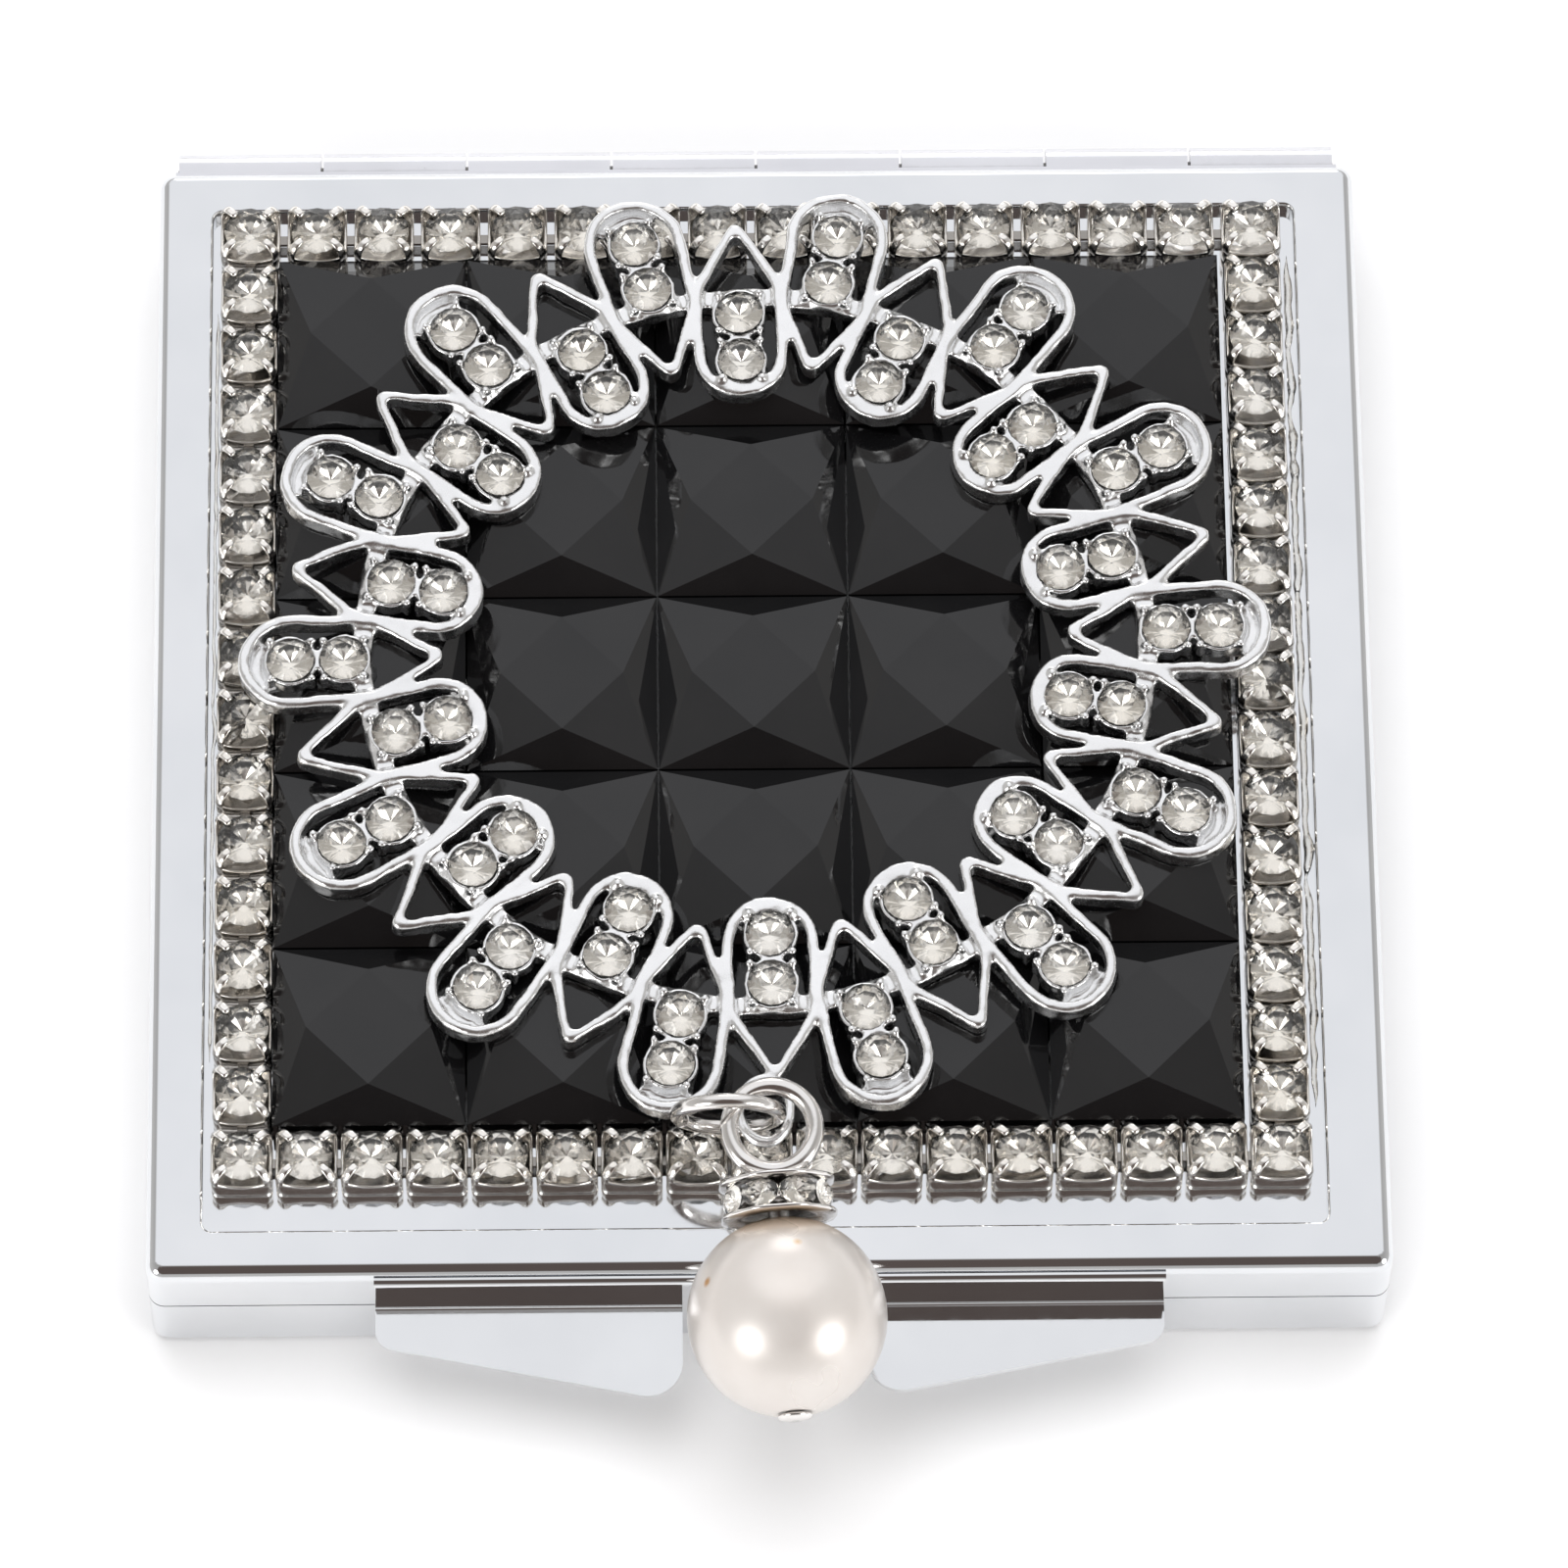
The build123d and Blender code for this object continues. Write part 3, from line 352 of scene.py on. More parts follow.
def tube(path, radius, closed=False, sides=20, wobble=0.0, seed=0):
    """Vertices and faces of a wire that follows a path, with domed ends where it is open."""
    pts = [Vector(p) for p in path]
    n = len(pts)
    tangents = []
    for i in range(n):
        a = pts[(i - 1) % n] if closed or i else pts[0]
        b = pts[(i + 1) % n] if closed or i < n - 1 else pts[-1]
        tangents.append((b - a).normalized())
    side = tangents[0].orthogonal().normalized()
    frames = []
    for t in tangents:
        side = (side - t * side.dot(t)).normalized()
        frames.append((side.copy(), t.cross(side)))
    if closed:
        t = tangents[0]
        end = (frames[-1][0] - t * frames[-1][0].dot(t)).normalized()
        twist = math.atan2(end.dot(frames[0][1]), end.dot(frames[0][0]))
        for i, t in enumerate(tangents):
            q = Matrix.Rotation(-twist * i / n, 3, t)
            frames[i] = (q @ frames[i][0], q @ frames[i][1])
    verts, faces = [], []

    def ring(centre, u, v, r):
        start = len(verts)
        for k in range(sides):
            a = 2 * math.pi * k / sides
            p = centre + (u * math.cos(a) + v * math.sin(a)) * r
            if wobble:
                p += noise.noise_vector(p * 0.9 + Vector((seed, 0, 0))) * wobble
            verts.append(p)
        return start

    rings = []
    if not closed:
        for f in (0.25, 0.6, 0.87):
            r = radius * math.sin(f * math.pi / 2)
            back = radius * 0.5 * (1 - math.sin(math.acos(r / radius)))
            rings.append(ring(pts[0] + tangents[0] * (back - radius * 0.25), *frames[0], r))
    for p, (u, v) in zip(pts, frames):
        rings.append(ring(p, u, v, radius))
    if not closed:
        for f in (0.87, 0.6, 0.25):
            r = radius * math.sin(f * math.pi / 2)
            back = radius * 0.5 * (1 - math.sin(math.acos(r / radius)))
            rings.append(ring(pts[-1] - tangents[-1] * (back - radius * 0.25), *frames[-1], r))
    count = len(rings)
    for i in range(count if closed else count - 1):
        a, b = rings[i], rings[(i + 1) % count]
        for k in range(sides):
            m = (k + 1) % sides
            faces.append((a + k, a + m, b + m, b + k))
    if not closed:
        faces.append(tuple(reversed(range(rings[0], rings[0] + sides))))
        faces.append(tuple(range(rings[-1], rings[-1] + sides)))
    return verts, faces


def copy_node(name, piece, body, material):
    """A new piece that starts from a copy of a CAD node's mesh and stands for it."""
    src = nodes[name]
    mesh = src.data.copy()
    mesh.name = piece
    obj = bpy.data.objects.new(piece, mesh)
    bpy.context.scene.collection.objects.link(obj)
    mesh.materials.clear()
    mesh.materials.append(material)
    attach(obj, body)
    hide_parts(name)
    return obj


def apply_modifiers(obj):
    bpy.context.view_layer.update()
    deps = bpy.context.evaluated_depsgraph_get()
    mesh = bpy.data.meshes.new_from_object(obj.evaluated_get(deps))
    obj.modifiers.clear()
    obj.data = mesh


def tidy_normals(obj, weld_mm=0.0):
    """Turns all faces outward, and welds points that lie on one another."""
    bm = bmesh.new()
    bm.from_mesh(obj.data)
    if weld_mm:
        bmesh.ops.remove_doubles(bm, verts=bm.verts, dist=weld_mm * MM)
    bmesh.ops.recalc_face_normals(bm, faces=bm.faces)
    bm.to_mesh(obj.data)
    bm.free()


def merge(parts):
    """Joins several (verts, faces) lists into one."""
    verts, faces = [], []
    for v, f in parts:
        start = len(verts)
        verts += list(v)
        faces += [tuple(i + start for i in face) for face in f]
    return verts, faces


# ------------------------------------------------------------------------------------------------
# Cut stones: a table, star and kite facets, a girdle and a foil-backed pavilion
# ------------------------------------------------------------------------------------------------
GEM_TABLE = 0.56              # radius of the table, as a share of the girdle's
GEM_STAR = 0.80               # radius of the star facets' tips, as a share of the girdle's
GEM_STAR_RISE = 0.58          # height of those tips, as a share of the crown
GEM_GIRDLE = 0.03             # half the girdle's thickness
GEM_FIT = 0.985               # stones are a little smaller than their seats
FLAT_ANGLE = math.radians(1.5)
FOIL_SLOPE = -0.02            # faces that look down more than this are backed with foil


def gem(radius, crown, pavilion):
    """Facets of a round stone around the origin: vertices, faces and whether each face is foil."""
    pts = []
    for k in range(8):
        a = math.radians(45 * k + 22.5)
        pts.append((GEM_TABLE * radius * math.cos(a), GEM_TABLE * radius * math.sin(a), crown))
        b = math.radians(45 * k)
        star = GEM_STAR * radius
        pts.append((star * math.cos(b), star * math.sin(b), crown * GEM_STAR_RISE))
    for k in range(16):
        a = math.radians(22.5 * k)
        for z in (GEM_GIRDLE, -GEM_GIRDLE):
            pts.append((radius * math.cos(a), radius * math.sin(a), z))
    pts.append((0, 0, -pavilion))
    bm = bmesh.new()
    for p in pts:
        bm.verts.new(p)
    bmesh.ops.convex_hull(bm, input=bm.verts)
    loose = [v for v in bm.verts if not v.link_faces]
    bmesh.ops.delete(bm, geom=loose, context="VERTS")
    bmesh.ops.dissolve_limit(bm, angle_limit=FLAT_ANGLE, verts=bm.verts, edges=bm.edges)
    bmesh.ops.recalc_face_normals(bm, faces=bm.faces)
    bm.verts.index_update()
    verts = [v.co.copy() for v in bm.verts]
    faces = [tuple(v.index for v in f.verts) for f in bm.faces]
    foil = [f.normal.z < FOIL_SLOPE for f in bm.faces]
    bm.free()
    return verts, faces, foil


def faceted(name, verts, faces, marks, body, replaced):
    """A piece of clear stone, with foil on the marked faces."""
    obj = new_piece(name, verts, faces, [clear_stone, foil_metal], body,
                    smooth=False, replaces=(replaced,))
    for p, is_foil in zip(obj.data.polygons, marks):
        p.material_index = 1 if is_foil else 0


def stones(name, spots, radius, crown, pavilion, replaced, seed, tilt):
    """A set of stones on the lid, each turned and tilted a little in its cup."""
    rng = random.Random(seed)
    gv, gf, foil = gem(radius, crown, pavilion)
    verts, faces, marks = [], [], []
    for x, y, z in spots:
        turn = Matrix.Rotation(rng.uniform(0, math.pi / 4), 3, "Z")
        lean = Matrix.Rotation(math.radians(rng.uniform(-tilt, tilt)), 3, "X")
        roll = Matrix.Rotation(math.radians(rng.uniform(-tilt, tilt)), 3, "Y")
        m = roll @ lean @ turn
        start = len(verts)
        verts += [m @ v * GEM_FIT + Vector((x, y, z)) for v in gv]
        faces += [tuple(i + start for i in f) for f in gf]
        marks += foil
    faceted(name, verts, faces, marks, "lid", replaced)


def row(count, first, last):
    """Evenly spaced values from first to last."""
    return [first + (last - first) * i / (count - 1) for i in range(count)]


cx, cy = CHAIN_MID
front_y, back_y = cy - CHAIN_HALF, cy + CHAIN_HALF
left_x, right_x = cx - CHAIN_HALF, cx + CHAIN_HALF
# The front and back rows hold the corner cups, so the side rows leave them out.
chain = {
    "front": [(x, front_y) for x in row(FRONT_CUPS, left_x, right_x)],
    "back": [(x, back_y) for x in row(BACK_CUPS, left_x, right_x)],
    "left": [(left_x, y) for y in row(LEFT_CUPS, front_y, back_y)[1:-1]],
    "right": [(right_x, y) for y in row(RIGHT_CUPS, front_y, back_y)[1:-1]],
}
for index, (side, spots) in enumerate(chain.items()):
    stones(
        f"chain_stones_{side}", [(x, y, CHAIN_GIRDLE_Z) for x, y in spots],
        CHAIN_GIRDLE_R, CHAIN_CROWN, CHAIN_PAVILION, f"chain_crystals_{side}", 10 + index, 3.0,
    )


def on_wreath(radius, degrees):
    a = math.radians(degrees)
    return WREATH.x + radius * math.cos(a), WREATH.y + radius * math.sin(a)


step = 360 / DROPS
set_spots = []
for k in range(DROPS):
    for r in INNER_STONES:
        set_spots.append(on_wreath(r, WREATH_TURN + 90 + k * step))
    for r in OUTER_STONES:
        set_spots.append(on_wreath(r, WREATH_TURN + 90 + (k + 0.5) * step))
stones(
    "wreath_stones", [(x, y, WREATH_GIRDLE_Z) for x, y in set_spots],
    WREATH_GIRDLE_R, WREATH_CROWN, WREATH_PAVILION, "wreath_crystals", 31, 4.0,
)

# ------------------------------------------------------------------------------------------------
# Cups of the chain: dished square cups, with four prongs that fold in over the stone
# ------------------------------------------------------------------------------------------------
CUP_HALF = 1.52
CUP_STRETCH = 1.04            # a cup is a little longer along its row than across it
CUP_CORNER = 0.45
CUP_H = 1.75
CUP_DIP = 1.1
DIP_R = 1.9
CUP_WALL = 0.16
CUP_FLOOR = 0.3
CUP_TURN = 0.8                # degrees that a cup may be turned in its row
SEAT_GAP = 0.004              # between the recess floor and what lies on it
# Layers of a cup from under its foot, over its rim and down inside: how far each is inset from
# the outside, its height, and whether that height is counted from the top of the wall.
CUP_LAYERS = [
    (0.16, 0.0, False), (0.04, 0.05, False), (0.0, 0.18, False),
    (0.0, -0.06, True), (0.03, -0.01, True), (0.08, 0.0, True), (0.13, -0.01, True),
    (CUP_WALL, -0.06, True), (CUP_WALL, CUP_FLOOR, False),
]
# A prong's middle line along the cup's diagonal: distance from the cup's middle, and height.
PRONG_PATH = [
    (1.60, 0.75), (1.78, 0.95), (1.86, 1.25), (1.87, 1.55), (1.83, 1.80),
    (1.72, 2.01), (1.57, 2.15), (1.39, 2.22), (1.20, 2.235), (1.06, 2.20),
]
PRONG_WIDE = 0.50
PRONG_THICK = 0.22
PRONG_TAPER = 0.25
PRONG_ROUND = 0.75            # power of its cross-section, where 1 is an ellipse
PRONG_NOSE = 0.07
PRONG_SIDES = 16


def square_ring(half, corner, per_corner=7, per_side=12):
    """Points of a rounded square, anticlockwise."""
    flat = half - corner
    out = []
    for quarter in range(4):
        turn = Matrix.Rotation(math.pi / 2 * quarter, 2)
        for i in range(per_side):
            out.append(turn @ Vector((half, -flat + 2 * flat * i / per_side)))
        for i in range(per_corner):
            a = math.pi / 2 * i / per_corner
            out.append(turn @ Vector((flat + corner * math.cos(a), flat + corner * math.sin(a))))
    return out


def wall_top(p):
    """Height of the cup's wall at a point of its outline, dished in the middle of each side."""
    along = min(abs(p.x), abs(p.y), 1.4)
    return min(CUP_H, CUP_DIP + DIP_R - math.sqrt(DIP_R ** 2 - along ** 2))


def cup_shell():
    """The closed skin of one cup."""
    verts, faces = [], []
    for inset, height, from_top in CUP_LAYERS:
        for p in square_ring(CUP_HALF - inset, CUP_CORNER - inset):
            verts.append(Vector((p.x, p.y, wall_top(p) + height if from_top else height)))
    n = len(verts) // len(CUP_LAYERS)
    for i in range(len(CUP_LAYERS) - 1):
        for k in range(n):
            m = (k + 1) % n
            faces.append((i * n + k, i * n + m, (i + 1) * n + m, (i + 1) * n + k))
    faces.append(tuple(reversed(range(n))))
    faces.append(tuple(range(len(verts) - n, len(verts))))
    return verts, faces


def prong(turn):
    """A flat rounded bar along PRONG_PATH, in the upright plane of one of the cup's diagonals."""
    out = Vector((math.cos(turn), math.sin(turn), 0))
    across = Vector((-out.y, out.x, 0))
    path = [out * d + Vector((0, 0, z)) for d, z in PRONG_PATH]
    verts, faces, sides, last = [], [], PRONG_SIDES, len(path) - 1

    def rounded(value):
        return math.copysign(abs(value) ** PRONG_ROUND, value)

    for i, p in enumerate(path):
        along = (path[min(i + 1, last)] - path[max(i - 1, 0)]).normalized()
        lift = along.cross(across)
        narrow = 1.0 - PRONG_TAPER * (i / last) ** 2
        for k in range(sides):
            a = 2 * math.pi * k / sides
            wide = rounded(math.cos(a)) * PRONG_WIDE / 2 * narrow
            thick = rounded(math.sin(a)) * PRONG_THICK / 2
            verts.append(p + across * wide + lift * thick)
    for i in range(last):
        for k in range(sides):
            m = (k + 1) % sides
            faces.append((i * sides + k, i * sides + m, (i + 1) * sides + m, (i + 1) * sides + k))
    tip = path[last] + (path[last] - path[last - 1]).normalized() * PRONG_NOSE
    foot = path[0] + (path[0] - path[1]).normalized() * PRONG_NOSE
    verts += [tip, foot]
    for k in range(sides):
        m = (k + 1) % sides
        faces.append((last * sides + k, last * sides + m, len(verts) - 2))
        faces.append((m, k, len(verts) - 1))
    return verts, faces


cup_v, cup_f = merge([cup_shell()] + [prong(math.radians(45 + 90 * k)) for k in range(4)])
for index, (side, spots) in enumerate(chain.items()):
    rng = random.Random(50 + index)
    grow_x, grow_y = (CUP_STRETCH, 1.0) if side in ("front", "back") else (1.0, CUP_STRETCH)
    cup_points = [Vector((p.x * grow_x, p.y * grow_y, p.z)) for p in cup_v]
    cups = []
    for x, y in spots:
        turn = Matrix.Rotation(math.radians(rng.uniform(-CUP_TURN, CUP_TURN)), 3, "Z")
        seat = Vector((x, y, FLOOR_Z + SEAT_GAP))
        cups.append(([turn @ p + seat for p in cup_points], cup_f))
    v, f = merge(cups)
    row_of_cups = new_piece(f"cup_row_{side}", v, f, cup_metal, "lid",
                            replaces=(f"chain_cups_{side}",))
    tidy_normals(row_of_cups)

# ------------------------------------------------------------------------------------------------
# Wreath casting: the CAD shape, melted a little like a casting
# ------------------------------------------------------------------------------------------------
VOXEL = 0.13
MELT_SLOW = (0.55, 0.09)      # features to the millimetre, and depth
MELT_FINE = (1.7, 0.035)


def melt(point, grain):
    per_mm, depth = grain
    return np.array(noise.noise_vector(point * per_mm)) * depth * MM


wreath = copy_node("wreath_casting", "wreath_cast", "lid", wreath_metal)
remesh = wreath.modifiers.new("remesh", "REMESH")
remesh.mode = "VOXEL"
remesh.voxel_size = VOXEL * MM
smooth = wreath.modifiers.new("smooth", "SMOOTH")
smooth.factor = 0.5
smooth.iterations = 3
apply_modifiers(wreath)
co = np.empty(len(wreath.data.vertices) * 3)
wreath.data.vertices.foreach_get("co", co)
co = co.reshape(-1, 3)
for i, p in enumerate(co):
    q = Vector(p) / MM
    co[i] += melt(q, MELT_SLOW) + melt(q, MELT_FINE)
# It stays clear of the stones that it lies on.
co[:, 2] = np.maximum(co[:, 2], (WREATH.z - 0.04) * MM)
wreath.data.vertices.foreach_set("co", co.ravel())
wreath.data.polygons.foreach_set("use_smooth", np.ones(len(wreath.data.polygons), bool))
wreath.data.update()


# ------------------------------------------------------------------------------------------------
# Charm: jump ring, pin with its eye, rondelle and pearl
# ------------------------------------------------------------------------------------------------
CIRCLE_POINTS = 96
WIRE_SIDES = 24
PIN_SIDES = 20
WIRE_WOBBLE = 0.015
RING_START = 202              # the ring's wire starts at this angle and ends just short of it
RING_SWEEP = 356
HEAD_SIDES = 24


def circle(centre, u, v, radius, start, sweep, count=CIRCLE_POINTS):
    """Points around a centre, in the plane of u and v, in degrees."""
    out = []
    for i in range(count):
        a = math.radians(start + sweep * i / (count if abs(sweep) >= 360 else count - 1))
        out.append(centre + (u * math.cos(a) + v * math.sin(a)) * radius)
    return out


ring_up = Vector((0, -math.sin(LEAN), math.cos(LEAN)))
loop = circle(RING, Vector((1, 0, 0)), ring_up, RING_R, RING_START, RING_SWEEP)
v, f = tube(loop, RING_WIRE_R, sides=WIRE_SIDES, wobble=WIRE_WOBBLE)
new_piece("jump_ring_wire", v, f, finding_metal, "jump_ring",
          replaces=("jump_ring",))


def charm(x, y, z):
    """A point given in the charm's own frame, with z along the pin."""
    return PEARL + SIDE_AXIS * x + UP_AXIS * y + PIN_AXIS * z


# The pin: a domed head under the pearl, the shaft through pearl and rondelle, and a closed eye.
head_z = -PEARL_FLAT - 0.05
shaft = [charm(0, 0, z) for z in np.linspace(head_z - 0.2, EYE_AT - EYE_R, 30)]
eye = circle(charm(0, 0, EYE_AT), SIDE_AXIS, PIN_AXIS, EYE_R, -90, 360)
dome = [
    (0.02, -0.3), (0.5, -0.29), (0.78, -0.23), (0.9, -0.13), (0.88, -0.03), (0.8, 0.0), (0.02, 0.0),
]
head_v, head_f = [], []
for r, z in dome:
    for k in range(HEAD_SIDES):
        a = 2 * math.pi * k / HEAD_SIDES
        head_v.append(charm(r * math.cos(a), r * math.sin(a), head_z + z))
for i in range(len(dome) - 1):
    low, high = i * HEAD_SIDES, (i + 1) * HEAD_SIDES
    for k in range(HEAD_SIDES):
        m = (k + 1) % HEAD_SIDES
        head_f.append((low + k, low + m, high + m, high + k))
head_f.append(tuple(reversed(range(HEAD_SIDES))))
head_f.append(tuple(range(len(head_v) - HEAD_SIDES, len(head_v))))
v, f = merge([
    tube(shaft, PIN_R, sides=PIN_SIDES),
    tube(eye, PIN_R, closed=True, sides=WIRE_SIDES, wobble=WIRE_WOBBLE),
    (head_v, head_f),
])
new_piece("eye_pin", v, f, finding_metal, "charm", replaces=("head_pin",))


def lathe_around_pin(outline, count, lobes=0, depth=0.0):
    """A ring turned around the pin from a closed (radius, z) outline, with an optional wavy rim."""
    verts, faces = [], []
    n = len(outline)
    for k in range(count):
        a = 2 * math.pi * k / count
        wave = math.cos(lobes * a - math.pi) if lobes else 0.0
        for r, z in outline:
            grow = depth * wave * max(0.0, (r - 1.6) / 1.5)
            verts.append(charm((r + grow) * math.cos(a), (r + grow) * math.sin(a), z))
    for k in range(count):
        m = (k + 1) % count
        for i in range(n):
            j = (i + 1) % n
            faces.append((k * n + i, k * n + j, m * n + j, m * n + i))
    return verts, faces


def flange(z0, z1):
    """Outline of a rondelle flange, thinner towards its rim."""
    return [
        (FLANGE_BORE_R, z0), (2.6, z0), (2.92, z0 + 0.04), (FLANGE_R, (z0 + z1) / 2),
        (2.92, z1 - 0.04), (2.6, z1), (FLANGE_BORE_R, z1),
    ]


flanges = [
    lathe_around_pin(flange(*z), 128, LOBES, LOBE_DEPTH) for z in (LOWER_FLANGE, UPPER_FLANGE)
]
hub_z = (LOWER_FLANGE[1] - 0.05, UPPER_FLANGE[0] + 0.05)
hub = lathe_around_pin([
    (FLANGE_BORE_R, hub_z[0]), (HUB_R, hub_z[0]), (HUB_R, hub_z[1]), (FLANGE_BORE_R, hub_z[1]),
], 48)
v, f = merge([*flanges, hub])
new_piece("rondelle_rims", v, f, finding_metal, "rondelle",
          replaces=("rondelle_frame",))

gv, gf, foil = gem(0.72, 0.28, 0.55)
verts, faces, marks = [], [], []
for k in range(LOBES):
    a = 2 * math.pi * (k + 0.5) / LOBES
    out = (SIDE_AXIS * math.cos(a) + UP_AXIS * math.sin(a)).normalized()
    across = PIN_AXIS.cross(out)
    m = Matrix((across, PIN_AXIS, out)).transposed()
    start = len(verts)
    spot = charm(GEMS_AT[0] * math.cos(a), GEMS_AT[0] * math.sin(a), GEMS_AT[1])
    verts += [spot + m @ Vector((p.x * GEM_WIDEN, p.y, p.z)) for p in gv]
    faces += [tuple(i + start for i in face) for face in gf]
    marks += foil
faceted("rondelle_stones", verts, faces, marks, "rondelle", "rondelle_crystals")

# The pearl is turned from its profile with a drilled hole, and is very slightly uneven.
PEARL_STEPS = 72
PEARL_SIDES = 144
HOLE_EDGE = 0.08
profile = []
for i in range(PEARL_STEPS + 1):
    a = math.pi * i / PEARL_STEPS
    r, z = PEARL_R * math.sin(a), -PEARL_R * math.cos(a)
    if abs(z) < PEARL_FLAT:
        profile.append((r, z))
flat_r = math.sqrt(PEARL_R ** 2 - PEARL_FLAT ** 2) - HOLE_EDGE
profile = [
    (BORE_R, -PEARL_FLAT), (flat_r, -PEARL_FLAT), *profile,
    (flat_r, PEARL_FLAT), (BORE_R, PEARL_FLAT),
]
verts, faces = [], []
count, n = PEARL_SIDES, len(profile)
for k in range(count):
    a = 2 * math.pi * k / count
    for r, z in profile:
        p = charm(r * math.cos(a), r * math.sin(a), z)
        if r > 1.2:
            p += (p - PEARL).normalized() * (noise.noise((p - PEARL) * 0.25) * 0.03 - 0.02)
        verts.append(p)
for k in range(count):
    m = (k + 1) % count
    for i in range(n):
        j = (i + 1) % n
        faces.append((k * n + i, m * n + i, m * n + j, k * n + j))
new_piece("pearl_bead", verts, faces, pearl_coat, "pearl", replaces=("pearl",))

# ------------------------------------------------------------------------------------------------
# CAD nodes that keep their own shape
# ------------------------------------------------------------------------------------------------
paint = (
    (case_metal, ("base_shell", "lid_shell")),
    (hinge_metal, ("base_hinge_leaf", "lid_hinge_leaf")),
    (pin_metal, ("hinge_pin",)),
    (latch_metal, ("latch_plate",)),
    # painted shade: dark links for the shade between the cups
    (link_metal_painted_shade, ("chain_links",)),
    (tray_plastic, ("inner_tray", "mirror_bezel")),
    (glue, ("pan_adhesive", "mirror_adhesive", "stone_adhesive", "wreath_adhesive")),
    (pan_metal, ("powder_pan",)),
    (powder, ("powder_cake",)),
    (mirror_glass, ("mirror",)),
    (black_stone, ("black_stones",)),
)
for material, names in paint:
    for name in names:
        mesh = nodes[name].data
        mesh.materials.clear()
        mesh.materials.append(material)
edges = {
    "black_stones": 0.05, "latch_plate": 0.08, "powder_cake": 0.08,
    "inner_tray": 0.15, "mirror_bezel": 0.1,
}
for name, width in edges.items():
    bevel = nodes[name].modifiers.new("edges", "BEVEL")
    bevel.width = width * MM
    bevel.segments = 2
    bevel.limit_method = "ANGLE"
    bevel.angle_limit = math.radians(20)
    bevel.harden_normals = False

# ------------------------------------------------------------------------------------------------
# Puff and ribbon
# ------------------------------------------------------------------------------------------------
lo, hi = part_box("powder_puff")
half = (hi.x - lo.x) / 2 / MM
mid_z, thick = (lo.z + hi.z) / 2 / MM, (hi.z - lo.z) / MM


PUFF_RINGS = 40
PUFF_SIDES = 160
PUFF_SQUARE = 7               # power of its outline, where 2 is a circle
PUFF_SHOULDER = 0.15          # its flats are this much lower than half its thickness
SEAM_DEPTH = 0.12
SEAM_AT = 0.94
DIMPLE_DEPTH = 0.12


def puff_edge(t):
    """Half-width of the puff's rounded square outline in the direction t."""
    c, sn = abs(math.cos(t)), abs(math.sin(t))
    return half * (c ** PUFF_SQUARE + sn ** PUFF_SQUARE) ** (-1 / PUFF_SQUARE)


verts, faces = [], []
rings, count = PUFF_RINGS, PUFF_SIDES
for s_side in (1, -1):
    for i in range(rings + 1):
        g = math.sin(i / rings * math.pi / 2)
        for k in range(count):
            a = 2 * math.pi * k / count
            r = puff_edge(a) * g
            crown = (1 - g ** 6) ** 0.5
            seam = -SEAM_DEPTH * math.exp(-((g - SEAM_AT) / 0.02) ** 2)
            x, y = r * math.cos(a), r * math.sin(a)
            dimple = noise.noise(Vector((x, y, s_side * 9)) * 0.12) * DIMPLE_DEPTH
            z = s_side * ((thick / 2 - PUFF_SHOULDER) * crown + (dimple + seam) * (1 - g ** 8))
            verts.append((x, y, mid_z + z))
layer = (rings + 1) * count
for s_side in (0, 1):
    for i in range(rings):
        for k in range(count):
            m = (k + 1) % count
            inner = s_side * layer + i * count
            q = (inner + k, inner + m, inner + count + m, inner + count + k)
            faces.append(tuple(reversed(q)) if s_side == 0 else q)
puff = new_piece("velour_puff", verts, faces, puff_velour, "base",
                 replaces=("powder_puff",))
tidy_normals(puff, 0.002)

lo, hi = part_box("puff_ribbon")
rw = (hi.y - lo.y) / 2 / MM
reach = half - 0.5            # the ribbon's ends stay this far inside the puff's edge
RIBBON_THICK = 0.1
RIBBON_LIFT = 0.10
verts, faces = [], []
nx, ny = 90, 14
for top in (0, 1):
    for i in range(nx + 1):
        x = -reach + 2 * reach * i / nx
        g = min(0.9999, abs(x) / half)
        base = mid_z + (thick / 2 - PUFF_SHOULDER) * (1 - g ** 6) ** 0.5
        for j in range(ny + 1):
            y = -rw + 2 * rw * j / ny
            ripple = 0.05 * math.sin(x * 0.35) * (1 - abs(y) / rw)
            lift = RIBBON_LIFT + ripple + noise.noise(Vector((x, y, 3)) * 0.2) * 0.04
            verts.append((x, y, base + lift * (1 - g ** 10) + top * RIBBON_THICK))
layer = (nx + 1) * (ny + 1)
for top in (0, 1):
    for i in range(nx):
        for j in range(ny):
            a = top * layer + i * (ny + 1) + j
            q = (a, a + ny + 1, a + ny + 2, a + 1)
            faces.append(q if top else tuple(reversed(q)))
for i in range(nx):
    for j in (0, ny):
        a = i * (ny + 1) + j
        b = a + ny + 1
        q = (a, b, b + layer, a + layer)
        faces.append(q if j == 0 else tuple(reversed(q)))
for j in range(ny):
    for i in (0, nx):
        a = i * (ny + 1) + j
        b = a + 1
        q = (a, b, b + layer, a + layer)
        faces.append(tuple(reversed(q)) if i == 0 else q)
ribbon = new_piece("ribbon_band", verts, faces, ribbon_cloth, "base",
                   replaces=("puff_ribbon",))

# ------------------------------------------------------------------------------------------------
# Clear glue that has squeezed out along the sides of the chain
# ------------------------------------------------------------------------------------------------
BEAD_STEPS = 220
BEAD_SIDES = 10
BEAD_WANDER = 0.18


